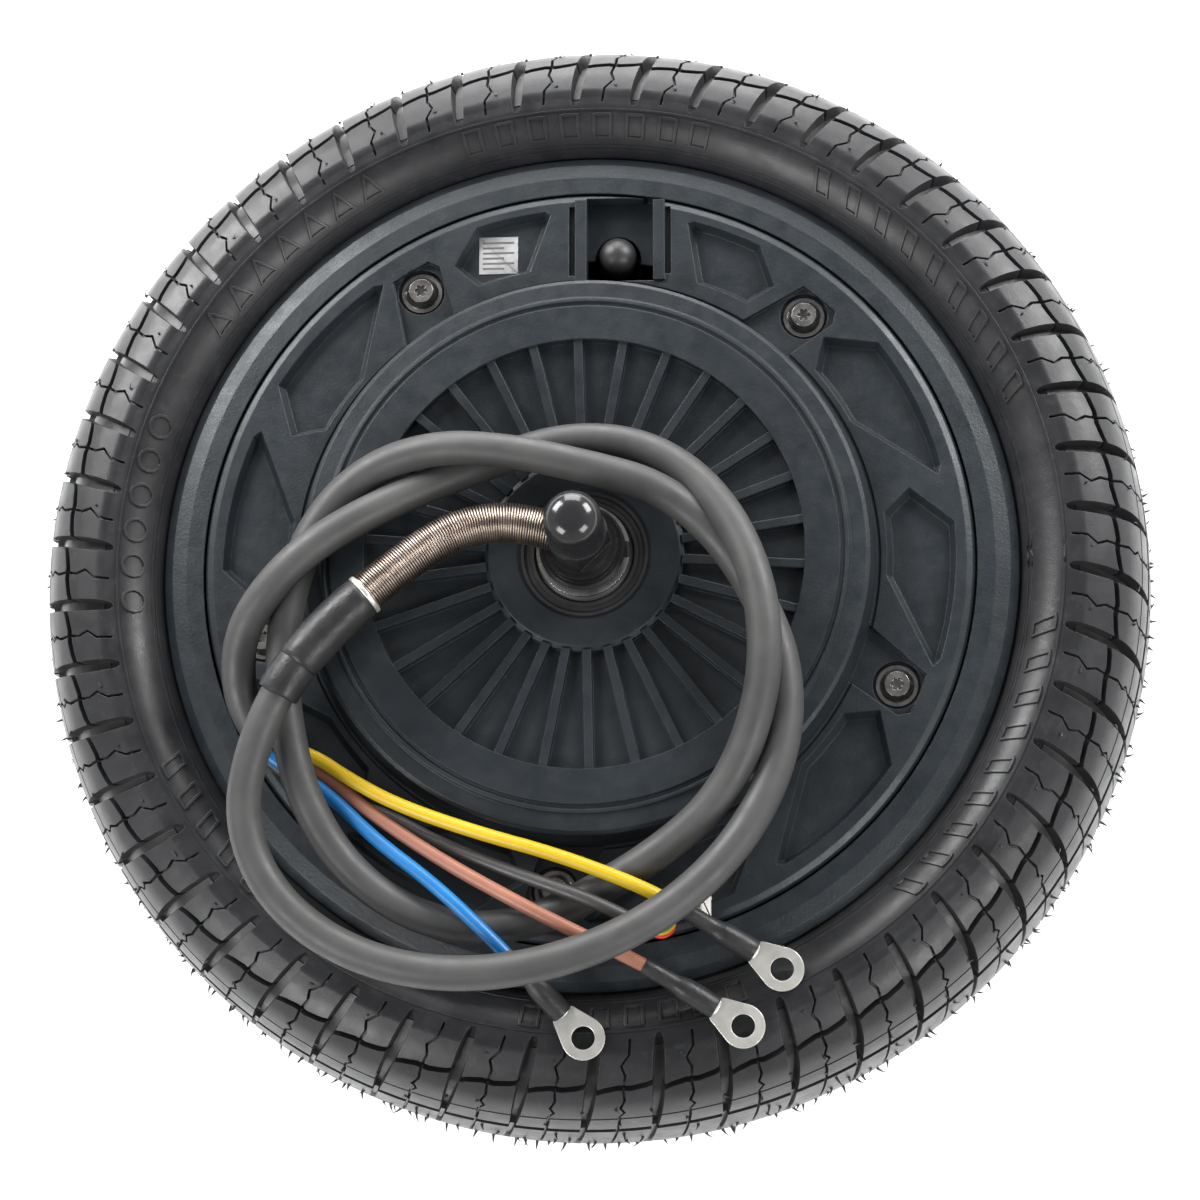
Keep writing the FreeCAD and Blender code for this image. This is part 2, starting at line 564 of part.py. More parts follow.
# The cable leaves the axle, drops over two loose turns laid on the cover and ends where it splits.
CABLE_ROUTE = [
    (-3.0, 0.9, 51.5), (-12.0, 3.7, 52.0), (-22.0, 3.8, 53.0), (-32.0, 0.0, 54.2), (-44.0, -9.2, 55.4),
    (-56.0, -20.0, 56.0), (-66.5, -32.0, 55.6), (-74.0, -47.5, 53.6), (-77.0, -63.5, 51.2), (-71.0, -79.5, 50.4),
    (-57.0, -92.0, 50.6), (-38.0, -99.0, 51.0), (-17.0, -99.5, 51.2), (4.5, -94.0, 51.0), (24.0, -83.0, 50.4),
    (38.5, -67.0, 48.5), (46.5, -48.0, 46.0), (47.0, -29.0, 44.6), (40.5, -12.0, 44.6), (31.0, 2.5, 46.5),
    (18.0, 12.5, 50.0), (2.0, 16.5, 53.0), (-15.5, 20.5, 54.0), (-33.0, 22.5, 52.0), (-49.5, 18.5, 48.0),
    (-62.0, 7.0, 44.9), (-68.0, -9.5, 44.5), (-69.5, -26.0, 44.5), (-67.8, -42.0, 45.0), (-64.0, -57.5, 44.2),
    (-55.5, -72.5, 41.0), (-42.5, -83.0, 38.2), (-26.5, -88.0, 37.2), (-10.5, -86.0, 37.2), (4.5, -78.5, 38.0),
    (18.5, -70.5, 41.5), (30.5, -61.0, 46.0), (38.5, -47.5, 50.0), (42.5, -31.5, 53.3), (41.8, -14.5, 53.6),
    (36.5, 1.5, 51.2), (27.0, 15.0, 48.0), (13.5, 24.0, 45.2), (-3.0, 25.8, 44.5), (-18.5, 21.4, 44.7),
    (-34.5, 14.8, 47.0), (-50.0, 6.8, 51.5), (-63.5, -2.5, 53.8), (-73.5, -12.5, 51.0), (-78.8, -20.5, 46.5),
    (-80.2, -29.5, 41.2), (-78.4, -37.5, 37.7), (-74.2, -43.5, 36.2),
]
YELLOW_ROUTE = [
    (-72.0, -43.4, 37.9), (-67.8, -45.4, 37.6), (-61.7, -47.6, 37.9), (-54.7, -52.5, 38.5), (-42.5, -59.5, 40.8),
    (-24.0, -66.4, 43.2), (-5.5, -71.8, 44.3), (13.0, -79.0, 44.3), (22.6, -84.0, 42.0), (31.0, -89.0, 38.6),
    (38.7, -93.3, 36.8),
]
BROWN_ROUTE = [
    (-73.4, -43.0, 34.3), (-68.4, -46.4, 34.4), (-61.1, -50.5, 35.3), (-49.4, -60.6, 38.4), (-32.6, -72.2, 41.3),
    (-14.0, -82.8, 43.6), (-1.0, -89.5, 43.8), (12.0, -95.6, 41.6), (21.0, -100.6, 38.4), (29.8, -105.9, 36.8),
]
BLUE_ROUTE = [
    (-75.4, -44.7, 37.6), (-71.0, -48.7, 37.2), (-65.5, -51.6, 37.2), (-58.6, -56.5, 37.7), (-47.5, -67.4, 40.4),
    (-33.0, -78.5, 43.4), (-19.5, -91.5, 43.8), (-11.8, -99.4, 40.6), (-4.9, -106.9, 36.8),
]
HALL_ROUTE = [
    (-76.5, -44.6, 34.3), (-71.8, -49.3, 34.0), (-62.8, -53.9, 34.0), (-53.8, -58.3, 34.0), (-46.0, -60.6, 35.0),
    (-32.5, -68.4, 37.8), (-14.5, -75.8, 41.4), (-1.0, -81.0, 43.8), (6.0, -84.0, 43.4), (11.5, -86.6, 42.0),
]
LUG_CENTRES = {"yellow": (44.8, -97.3), "brown": (35.9, -110.0), "blue": (-0.2, -112.4)}
CONNECTOR_LOW = Vector(21.0, -85.5, 32.5)
CONNECTOR_SIDES = (8.0, 5.0, 5.6)
BARREL_RADIUS = 1.9
BARREL_LENGTH = 3.0
BOOT_LENGTH = 19.0
# Each thin wire's angle around the lead's end, and its row and height at the connector.
FIVE_WIRES = {"red": (0, 2, 0.0), "yellow": (72, 1, 0.35), "green": (144, -1, 0.35), "blue": (216, -2, -0.35),
              "white": (288, 0, -0.35)}
FAN_PATH = [(11.5, -86.6, 42.0), (13.8, -87.7, 41.2), (16.4, -88.2, 38.6), (18.2, -86.0, 36.0),
            (19.2, -83.6, 35.3), (21.0, -83.0, 35.2)]
FAN_SPREAD = [0.8, 0.95, 1.5, 1.5, 1.0, 1.0]
ROW_PITCH = 0.95


def path_edges(points, name):
    """Straight runs joined by tangent arcs as large as their two runs allow."""
    places = [Vector(*point) for point in points]
    edges = []
    radii = []
    last = places[0]
    for before, corner, after in zip(places[:-2], places[1:-1], places[2:]):
        arriving = (corner - before).normalize()
        leaving = (after - corner).normalize()
        half_turn = arriving.getAngle(leaving) / 2
        reach = 0.45 * min((corner - before).Length, (after - corner).Length)
        radii.append(reach / math.tan(half_turn))
        start = corner - arriving * reach
        stop = corner + leaving * reach
        centre = corner + (leaving - arriving).normalize() * (radii[-1] / math.cos(half_turn))
        middle = centre + (corner - centre).normalize() * radii[-1]
        edges.append(Part.LineSegment(last, start).toShape())
        edges.append(Part.Arc(start, middle, stop).toShape())
        last = stop
    edges.append(Part.LineSegment(last, places[-1]).toShape())
    length = sum(edge.Length for edge in edges)
    print("%s: length %.1f, arc radii %s" % (name, length, " ".join("%.0f" % radius for radius in radii)))
    return edges


def stretch(edges, start, stop):
    """The part of a path between two distances along it."""
    chosen = []
    done = 0.0
    for edge in edges:
        low = max(start - done, 0.0)
        high = min(stop - done, edge.Length)
        if high - low > 0.01:
            first = edge.getParameterByLength(low)
            last = edge.getParameterByLength(high)
            chosen.append(edge.Curve.toShape(first, last))
        done += edge.Length
    return chosen


def tube(edges, radius, name):
    """A round tube along a path, with its volume compared with section times length."""
    wire = Part.Wire(edges)
    heading = edges[0].tangentAt(edges[0].FirstParameter)
    section = Part.Wire(Part.Circle(wire.OrderedVertexes[0].Point, heading, radius).toShape())
    solid = wire.makePipeShell([section], True, False)
    ratio = solid.Volume / (math.pi * radius ** 2 * sum(edge.Length for edge in edges))
    if abs(ratio - 1) > 0.01:
        raise RuntimeError("%s: volume is %.3f of its section times its length" % (name, ratio))
    return solid


def make_cable():
    """The cable and its sleeves; gives the cable's shape, because the wires start at its end."""
    path = path_edges(CABLE_ROUTE, "motor_cable")
    cable = tube(path, size("cable_radius"), "motor_cable")
    keep(feature("MotorCable", cable), "motor_cable")
    sleeves = (("cable_spring", "spring_radius", 1.2, 50.6), ("spring_ferrule", "shrink_large_radius", 50.6, 53.0),
               ("heat_shrink_large", "shrink_large_radius", 53.0, 73.0),
               ("heat_shrink_small", "shrink_small_radius", 73.0, 81.5))
    for name, radius, start, stop in sleeves:
        outside = tube(stretch(path, start, stop), size(radius), name)
        keep(feature(name.title().replace("_", ""), outside.cut(cable)), name)
    return cable


def make_phase_wire(colour, route, cable):
    path = path_edges(route, colour)
    wire = tube(path, size("wire_radius"), colour).cut(cable)
    keep(feature(colour.capitalize() + "Wire", wire), "phase_wire_" + colour)
    length = sum(edge.Length for edge in path)
    end = Vector(*route[-1])
    thickness = size("lug_thickness")
    ring_centre = Vector(*LUG_CENTRES[colour], end.z - thickness)
    heading = Vector(ring_centre.x - end.x, ring_centre.y - end.y, 0).normalize()
    barrel = Part.makeCylinder(BARREL_RADIUS, BARREL_LENGTH, end, heading)
    plate = Part.makeCylinder(size("lug_radius"), thickness, ring_centre)
    tongue = Part.makeBox(5.0, 3.6, thickness, Vector(0, -1.8, 0))
    tongue.Placement = Placement(Vector(end.x, end.y, ring_centre.z) + heading * 1.6,
                                 Rotation(Vector(1, 0, 0), heading))
    hole = Part.makeCylinder(size("lug_hole_radius"), 3.0, ring_centre - Vector(0, 0, 1))
    lug = barrel.fuse([plate, tongue]).cut(hole).cut(wire)
    keep(feature(colour.capitalize() + "Lug", lug), "ring_terminal_" + colour)
    boot = tube(stretch(path, length - BOOT_LENGTH, length), size("boot_radius"), colour)
    keep(feature(colour.capitalize() + "Boot", boot.cut(wire).cut(lug)), "wire_boot_" + colour)


def make_hall_lead(cable):
    path = path_edges(HALL_ROUTE, "hall_lead")
    lead = tube(path, size("wire_radius"), "hall_lead").cut(cable)
    keep(feature("HallLead", lead), "hall_lead")
    housing = Part.makeBox(*CONNECTOR_SIDES, CONNECTOR_LOW)
    for colour in FIVE_WIRES:
        make_thin_wire(colour, lead, housing)
    keep(feature("HallConnector", housing), "hall_connector")


def make_thin_wire(colour, lead, housing):
    """One of five wires that leave the lead's end in a ring and reach the connector in a row."""
    angle, row, height = FIVE_WIRES[colour]
    turn = math.radians(angle)
    centres = [Vector(*point) for point in FAN_PATH]
    route = []
    for index, centre in enumerate(centres):
        ahead = centres[min(index + 1, len(centres) - 1)] - centres[max(index - 1, 0)]
        across = Vector(0, 0, 1).cross(ahead).normalize()
        above = ahead.cross(across).normalize()
        share = index / (len(centres) - 1)
        sideways = math.cos(turn) * (1 - share) + ROW_PITCH * row * share
        upwards = math.sin(turn) * (1 - share) + height * share
        route.append(tuple(centre + (across * sideways + above * upwards) * FAN_SPREAD[index]))
    path = path_edges(route, "hall_wire_" + colour)
    solid = tube(path, size("thin_wire_radius"), colour).cut(lead).cut(housing)
    keep(feature("HallWire" + colour.capitalize(), solid), "hall_wire_" + colour)


def make_cables():
    cable = make_cable()
    for colour, route in (("yellow", YELLOW_ROUTE), ("brown", BROWN_ROUTE), ("blue", BLUE_ROUTE)):
        make_phase_wire(colour, route, cable)
    make_hall_lead(cable)


# ---------------------------------------------------------------- assembly

def check_and_write():
    doc.recompute()
    for item in doc.Objects:
        if "Invalid" in item.State or "Error" in item.State:
            raise RuntimeError("%s failed: %s" % (item.Label, item.State))
    for part in kept:
        if part.Shape.isNull() or not part.Shape.isValid():
            raise RuntimeError("%s has no valid shape" % part.Label)
    os.makedirs("parts", exist_ok=True)
    for part in kept:
        print("%-28s solids %2d volume %10.1f mm3" % (part.Label, len(part.Shape.Solids), part.Shape.Volume))
        part.Shape.exportStep("parts/%s.step" % part.Label)


def main():
    make_tyre()
    make_hub_shell()
    make_front_cover()
    make_gasket()
    make_cover_screws()
    make_axle()
    make_axle_caps()
    make_snap_ring()
    make_bearing("front", "journal_radius", "front_bearing_radius", "front_pitch_radius", "front_ball_radius", "21")
    make_bearing("rear", "rear_journal_radius", "rear_bearing_radius", "rear_pitch_radius", "rear_ball_radius",
                 "-31.5")
    make_seals()
    make_stator()
    make_windings()
    make_hall_sensors()
    make_rotor()
    make_valve()
    make_cables()
    check_and_write()


main()
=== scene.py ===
"""Looks for the hub motor wheel: tread, cords, spring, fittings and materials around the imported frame."""
import json
import math
import random

import bpy
from mathutils import Matrix, Vector


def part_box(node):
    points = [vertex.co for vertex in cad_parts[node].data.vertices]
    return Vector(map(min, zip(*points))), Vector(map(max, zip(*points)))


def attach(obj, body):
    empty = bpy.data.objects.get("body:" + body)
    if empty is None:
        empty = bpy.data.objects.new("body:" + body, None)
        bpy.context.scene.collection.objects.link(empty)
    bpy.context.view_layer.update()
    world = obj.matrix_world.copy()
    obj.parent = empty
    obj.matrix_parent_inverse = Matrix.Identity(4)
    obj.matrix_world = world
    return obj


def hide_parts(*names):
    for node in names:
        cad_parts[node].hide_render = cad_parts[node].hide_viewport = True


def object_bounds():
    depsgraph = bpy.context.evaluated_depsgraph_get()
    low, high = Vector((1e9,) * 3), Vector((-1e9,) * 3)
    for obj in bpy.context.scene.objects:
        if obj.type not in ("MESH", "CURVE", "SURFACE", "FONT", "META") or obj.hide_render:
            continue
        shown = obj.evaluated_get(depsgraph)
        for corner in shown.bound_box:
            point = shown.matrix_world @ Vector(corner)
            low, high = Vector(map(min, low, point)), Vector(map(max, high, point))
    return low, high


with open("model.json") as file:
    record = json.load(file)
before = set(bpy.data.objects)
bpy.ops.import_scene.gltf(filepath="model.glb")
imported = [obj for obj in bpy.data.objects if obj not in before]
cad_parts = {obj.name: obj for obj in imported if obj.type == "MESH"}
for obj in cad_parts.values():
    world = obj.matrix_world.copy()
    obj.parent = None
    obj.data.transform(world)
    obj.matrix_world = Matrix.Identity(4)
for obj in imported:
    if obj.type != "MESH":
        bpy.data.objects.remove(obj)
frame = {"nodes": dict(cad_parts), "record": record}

CAD_BOX = [list(corner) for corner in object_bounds()]
MM = 0.001
UP = Vector((0, 0, 1))


def mm(x, y, z=0.0):
    """A place given in millimetres, in metres."""
    return Vector((x, y, z)) * MM


# ---------------------------------------------------------------- camera, lights and floor

CAMERA_DISTANCE = 800.0
CAMERA_TILT = 14.0
CAMERA_BEARING = -70.7
CAMERA_LENS = 98.4
CAMERA_RIGHT = 0.63
CAMERA_DOWN = 2.44


def make_camera():
    tilt = math.radians(CAMERA_TILT)
    bearing = math.radians(CAMERA_BEARING)
    back = Vector((math.sin(tilt) * math.cos(bearing), math.sin(tilt) * math.sin(bearing), math.cos(tilt)))
    right = Vector((0, 1, 0)).cross(back).normalized()
    top = back.cross(right)
    data = bpy.data.cameras.new("camera")
    data.lens = CAMERA_LENS
    data.clip_start = 0.05
    camera = bpy.data.objects.new("camera", data)
    bpy.context.scene.collection.objects.link(camera)
    place = (back * CAMERA_DISTANCE + right * CAMERA_RIGHT - top * CAMERA_DOWN) * MM
    camera.matrix_world = Matrix.Translation(place) @ Matrix((right, top, back)).transposed().to_4x4()
    bpy.context.scene.camera = camera


def area_light(name, place, target, side, power):
    data = bpy.data.lights.new(name, "AREA")
    data.size = side
    data.energy = power
    light = bpy.data.objects.new(name, data)
    light.location = place
    light.rotation_euler = (Vector(target) - Vector(place)).to_track_quat("-Z", "Y").to_euler()
    bpy.context.scene.collection.objects.link(light)


def make_lights():
    area_light("key_left", (-0.62, 0.62, 0.50), (0, 0, 0), 0.45, 13.0)
    area_light("key_right", (0.70, 0.60, 0.50), (0, 0, 0), 0.45, 12.0)
    area_light("back_top", (0.0, 1.05, 0.30), (0, 0, 0), 0.7, 14.0)
    area_light("sheen_left", (-0.58, -0.56, 0.62), (0, 0, 0), 0.4, 6.0)
    area_light("sheen_right", (0.62, -0.52, 0.62), (0, 0, 0), 0.4, 5.0)
    world = bpy.data.worlds.new("studio")
    bpy.context.scene.world = world
    world.use_nodes = True
    nodes = world.node_tree.nodes
    links = world.node_tree.links
    coords = nodes.new("ShaderNodeTexCoord")
    split = nodes.new("ShaderNodeSeparateXYZ")
    ramp = nodes.new("ShaderNodeValToRGB")
    ramp.color_ramp.elements[0].position = 0.0
    ramp.color_ramp.elements[0].color = (1.0, 1.0, 1.0, 1)
    ramp.color_ramp.elements[1].position = 0.93
    ramp.color_ramp.elements[1].color = (0.30, 0.30, 0.31, 1)
    middle = ramp.color_ramp.elements.new(0.45)
    middle.color = (0.95, 0.95, 0.96, 1)
    links.new(coords.outputs["Generated"], split.inputs[0])
    links.new(split.outputs["Z"], ramp.inputs["Fac"])
    links.new(ramp.outputs["Color"], nodes["Background"].inputs["Color"])
    nodes["Background"].inputs["Strength"].default_value = 0.72


def make_floor():
    low = CAD_BOX[0][2] - 0.0005
    side = 3.0
    corners = [(-side, -side, low), (side, -side, low), (side, side, low), (-side, side, low)]
    mesh = bpy.data.meshes.new("floor")
    mesh.from_pydata(corners, [], [(0, 1, 2, 3)])
    floor = bpy.data.objects.new("floor", mesh)
    bpy.context.scene.collection.objects.link(floor)
    paint = surface("floor_paint", (0.86, 0.86, 0.86), (0.92, 0.92, 0.92), 0.6, 0.05, 90, 0.02)
    shader = paint.node_tree.nodes["Principled BSDF"]
    shader.inputs["Emission Color"].default_value = (1, 1, 1, 1)
    shader.inputs["Emission Strength"].default_value = 0.34
    mesh.materials.append(paint)


# ---------------------------------------------------------------- materials

# Where nearly all of a noise texture's values lie.
NOISE_SPAN = (0.3, 0.7)


class Painter:
    """Builds one procedural material, node by node, in object coordinates (metres)."""

    def __init__(self, name, metallic=0.0, coat=0.0, specular=0.5):
        self.material = bpy.data.materials.new(name)
        self.material.use_nodes = True
        self.nodes = self.material.node_tree.nodes
        self.links = self.material.node_tree.links
        self.shader = self.nodes["Principled BSDF"]
        self.shader.inputs["Metallic"].default_value = metallic
        self.shader.inputs["Coat Weight"].default_value = coat
        self.shader.inputs["Coat Roughness"].default_value = 0.12
        self.shader.inputs["Specular IOR Level"].default_value = specular
        self.coords = self.nodes.new("ShaderNodeTexCoord").outputs["Object"]
        self.normal = None

    def node(self, kind, **inputs):
        made = self.nodes.new(kind)
        for key, value in inputs.items():
            made.inputs[key.replace("_", " ")].default_value = value
        return made

    def noise(self, scale, detail=4.0):
        made = self.node("ShaderNodeTexNoise", Scale=scale, Detail=detail, Roughness=0.6)
        self.links.new(self.coords, made.inputs["Vector"])
        return made.outputs["Fac"]

    def ramp(self, value, colours):
        made = self.nodes.new("ShaderNodeValToRGB")
        for element, place, colour in zip(made.color_ramp.elements, NOISE_SPAN, colours):
            element.position = place
            element.color = (*colour, 1)
        self.links.new(value, made.inputs["Fac"])
        return made.outputs["Color"]

    def mix(self, share, first, second):
        made = self.nodes.new("ShaderNodeMix")
        made.data_type = "RGBA"
        self.links.new(share, made.inputs["Factor"])
        for socket, value in ((made.inputs[6], first), (made.inputs[7], second)):
            if isinstance(value, tuple):
                socket.default_value = (*value, 1)
            else:
                self.links.new(value, socket)
        return made.outputs[2]

    def between(self, value, low, high, from_low=NOISE_SPAN[0], from_high=NOISE_SPAN[1]):
        made = self.node("ShaderNodeMapRange")
        span = {"From Min": from_low, "From Max": from_high, "To Min": low, "To Max": high}
        for key, number in span.items():
            made.inputs[key].default_value = number
        self.links.new(value, made.inputs["Value"])
        return made.outputs["Result"]

    def colour(self, output):
        self.links.new(output, self.shader.inputs["Base Color"])

    def roughness(self, output):
        self.links.new(output, self.shader.inputs["Roughness"])

    def rounded(self, radius):
        made = self.node("ShaderNodeBevel", Radius=radius * MM)
        made.samples = 4
        self.normal = made.outputs["Normal"]
        self.links.new(self.normal, self.shader.inputs["Normal"])

    def bump(self, value, height, strength=1.0):
        made = self.node("ShaderNodeBump", Strength=strength, Distance=height * MM)
        self.links.new(value, made.inputs["Height"])
        if self.normal is not None:
            self.links.new(self.normal, made.inputs["Normal"])
        self.normal = made.outputs["Normal"]
        self.links.new(self.normal, self.shader.inputs["Normal"])


def surface(name, dark, light, rough, spread, grain, height, metallic=0.0, blotch=60.0, edge=0.0):
    """A finish with slow colour variation, uneven gloss, fine grain and, if asked, rounded edges."""
    paint = Painter(name, metallic)
    slow = paint.noise(blotch, 3.0)
    fine = paint.noise(grain, 5.0)
    paint.colour(paint.ramp(slow, (dark, light)))
    paint.roughness(paint.between(paint.noise(grain * 0.21, 4.0), rough - spread, rough + spread))
    if edge:
        paint.rounded(edge)
    paint.bump(fine, height)
    return paint.material


def tyre_rubber():
    paint = Painter("tyre_rubber", specular=0.42)
    slow = paint.noise(38.0, 3.0)
    dust = paint.noise(420.0, 6.0)
    base = paint.ramp(slow, ((0.007, 0.0072, 0.008), (0.014, 0.0142, 0.016)))
    paint.colour(paint.mix(paint.between(dust, 0.0, 0.35, 0.55, 0.75), base, (0.040, 0.041, 0.042)))
    paint.roughness(paint.between(paint.noise(160.0, 5.0), 0.30, 0.46))
    paint.shader.inputs["Sheen Weight"].default_value = 0.04
    paint.rounded(0.18)
    paint.bump(paint.noise(2600.0, 4.0), 0.03)
    paint.bump(paint.noise(300.0, 3.0), 0.10, 0.5)
    return paint.material


def cast_paint(name, dark, light, edge):
    """Slate-blue paint on a cast surface: fine orange peel, specks and worn gloss."""
    paint = Painter(name, metallic=0.15, coat=0.06, specular=0.40)
    slow = paint.noise(45.0, 4.0)
    speck = paint.noise(1500.0, 3.0)
    base = paint.ramp(slow, (dark, light))
    paint.colour(paint.mix(paint.between(speck, 0.0, 0.5, 0.60, 0.80), base, (0.038, 0.044, 0.050)))
    paint.roughness(paint.between(paint.noise(210.0, 5.0), 0.34, 0.50))
    paint.rounded(edge)
    paint.bump(paint.noise(1500.0, 3.0), 0.06)
    paint.bump(paint.noise(260.0, 3.0), 0.10, 0.6)
    return paint.material


def banded(name, colours, scale, rough, height):
    """Metal with bands stacked along the wheel's axis, for laminations and wound wire."""
    paint = Painter(name, metallic=1.0)
    wave = paint.node("ShaderNodeTexWave", Scale=scale, Distortion=0.4, Detail=2.0)
    wave.bands_direction = "Z"
    paint.links.new(paint.coords, wave.inputs["Vector"])
    paint.colour(paint.mix(paint.noise(120.0), colours[0], colours[1]))
    paint.roughness(paint.between(paint.noise(700.0), rough - 0.08, rough + 0.08))
    paint.bump(wave.outputs["Fac"], height)
    return paint.material


def cable_jacket():
    paint = Painter("cable_jacket", specular=0.45)
    slow = paint.noise(70.0, 3.0)
    speck = paint.noise(900.0, 4.0)
    base = paint.ramp(slow, ((0.036, 0.036, 0.0355), (0.052, 0.052, 0.051)))
    paint.colour(paint.mix(paint.between(speck, 0.0, 0.6, 0.62, 0.80), base, (0.040, 0.040, 0.040)))
    paint.roughness(paint.between(paint.noise(240.0, 5.0), 0.42, 0.58))
    paint.bump(paint.noise(1400.0, 4.0), 0.03)
    paint.bump(paint.noise(110.0, 2.0), 0.12, 0.6)
    return paint.material


def shrink_sleeve():
    paint = Painter("shrink_sleeve", specular=0.36)
    base = paint.ramp(paint.noise(90.0, 3.0), ((0.011, 0.011, 0.012), (0.020, 0.020, 0.021)))
    paint.colour(base)
    paint.roughness(paint.between(paint.noise(330.0, 4.0), 0.34, 0.50))
    paint.bump(paint.noise(260.0, 3.0), 0.22)
    paint.bump(paint.noise(1700.0, 3.0), 0.03)
    return paint.material


FINISHES = {
    "rubber": lambda: surface(
        "soft_rubber", (0.014, 0.014, 0.015), (0.024, 0.024, 0.025), 0.42, 0.08, 1500, 0.03),
    "black_steel": lambda: surface(
        "blackened_steel", (0.018, 0.018, 0.019), (0.034, 0.034, 0.035), 0.30, 0.09, 900, 0.02, 0.6,
        edge=0.25),
    "steel": lambda: surface(
        "ground_steel", (0.46, 0.46, 0.45), (0.60, 0.60, 0.58), 0.28, 0.08, 1300, 0.01, 1.0, edge=0.15),
    "screw_steel": lambda: surface(
        "zinc_steel", (0.22, 0.21, 0.20), (0.40, 0.39, 0.37), 0.30, 0.07, 1100, 0.015, 1.0,
        blotch=500, edge=0.15),
    "spring_steel": lambda: surface(
        "spring_steel", (0.21, 0.165, 0.135), (0.36, 0.30, 0.255), 0.33, 0.07, 900, 0.01, 1.0, blotch=260),
    "aluminium": lambda: surface(
        "cast_aluminium", (0.48, 0.48, 0.48), (0.62, 0.62, 0.62), 0.45, 0.1, 700, 0.05, 1.0),
    "laminations": lambda: banded("laminations", ((0.22, 0.22, 0.23), (0.34, 0.34, 0.35)), 320.0, 0.42, 0.05),
    "copper": lambda: banded("enamelled_copper", ((0.52, 0.20, 0.07), (0.70, 0.30, 0.12)), 260.0, 0.30, 0.12),
    "magnet": lambda: surface(
        "plated_magnet", (0.40, 0.40, 0.41), (0.55, 0.55, 0.56), 0.25, 0.06, 600, 0.01, 1.0),
    "insulator": lambda: surface(
        "glass_nylon", (0.70, 0.68, 0.60), (0.80, 0.78, 0.70), 0.5, 0.08, 800, 0.03),
    "board": lambda: surface(
        "circuit_board", (0.02, 0.14, 0.06), (0.03, 0.20, 0.09), 0.35, 0.06, 600, 0.02),
    "chip": lambda: surface(
        "sensor_case", (0.018, 0.018, 0.018), (0.03, 0.03, 0.03), 0.45, 0.06, 1500, 0.02),
    "black_gloss": lambda: surface(
        "gloss_cap", (0.010, 0.010, 0.011), (0.020, 0.020, 0.021), 0.16, 0.06, 500, 0.03),
    "gasket": lambda: surface("gasket_paper", (0.07, 0.07, 0.07), (0.11, 0.11, 0.11), 0.7, 0.08, 900, 0.04),
    "brass": lambda: surface("brass", (0.60, 0.43, 0.17), (0.76, 0.58, 0.27), 0.28, 0.08, 900, 0.01, 1.0),
    "lead": lambda: surface(
        "lead_jacket", (0.030, 0.029, 0.029), (0.046, 0.044, 0.044), 0.42, 0.07, 1400, 0.04),
    "tin": lambda: surface(
        "tinned_copper", (0.60, 0.59, 0.54), (0.74, 0.73, 0.68), 0.32, 0.08, 700, 0.02, 0.75,
        blotch=300, edge=0.12),
    "white": lambda: surface("nylon_white", (0.70, 0.68, 0.61), (0.80, 0.78, 0.72), 0.42, 0.06, 1100, 0.02),
    "red": lambda: surface("wire_red", (0.50, 0.015, 0.012), (0.62, 0.03, 0.02), 0.38, 0.06, 1500, 0.02),
    "yellow": lambda: surface(
        "wire_yellow", (0.44, 0.29, 0.003), (0.53, 0.36, 0.005), 0.38, 0.06, 1500, 0.03),
    "green": lambda: surface("wire_green", (0.012, 0.20, 0.05), (0.02, 0.28, 0.07), 0.38, 0.06, 1500, 0.02),
    "blue": lambda: surface("wire_blue", (0.002, 0.10, 0.29), (0.004, 0.14, 0.37), 0.38, 0.06, 1500, 0.03),
    "orange": lambda: surface(
        "wire_salmon", (0.22, 0.085, 0.052), (0.29, 0.12, 0.075), 0.40, 0.06, 1500, 0.03),
    "tyre": tyre_rubber,
    "cover": lambda: cast_paint("cover_paint", (0.009, 0.012, 0.0145), (0.015, 0.019, 0.0225), 0.45),
    "shell": lambda: cast_paint("shell_paint", (0.008, 0.011, 0.0135), (0.013, 0.017, 0.0205), 0.40),
    "cable": cable_jacket,
    "shrink": shrink_sleeve,
}
painted = {}


def finish(slot):
    """The material of one slot, built once."""
    if slot not in painted:
        painted[slot] = FINISHES[slot]()
    return painted[slot]


def dress_nodes():
    """Every carried-over node takes the finish of its slot."""
    for part in frame["record"]["subparts"]:
        node = frame["nodes"][part["node"]]
        node.data.materials.clear()
        node.data.materials.append(finish(part["material_slot"]))


# ---------------------------------------------------------------- mesh helpers

def piece(name, verts, faces, body, slot, replaced=(), sharp=35.0):
    """A mesh piece that rides on a body and takes its finish from a slot."""
    mesh = bpy.data.meshes.new(name)
    mesh.from_pydata([tuple(vert) for vert in verts], [], faces)
    mesh.validate()
    mesh.materials.append(finish(slot))
    for polygon in mesh.polygons:
        polygon.use_smooth = True
    mesh.set_sharp_from_angle(angle=math.radians(sharp))
    made = bpy.data.objects.new(name, mesh)
    bpy.context.scene.collection.objects.link(made)
    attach(made, body)
    if replaced:
        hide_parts(*replaced)
    return made


def grid_faces(rows, columns, wrap_rows=False):
    """Four-sided faces between rows of vertices; each row is a closed ring."""
    faces = []
    for row in range(rows if wrap_rows else rows - 1):
        below = (row + 1) % rows
        for column in range(columns):
            beside = (column + 1) % columns
            faces.append((row * columns + column, row * columns + beside,
                          below * columns + beside, below * columns + column))
    return faces


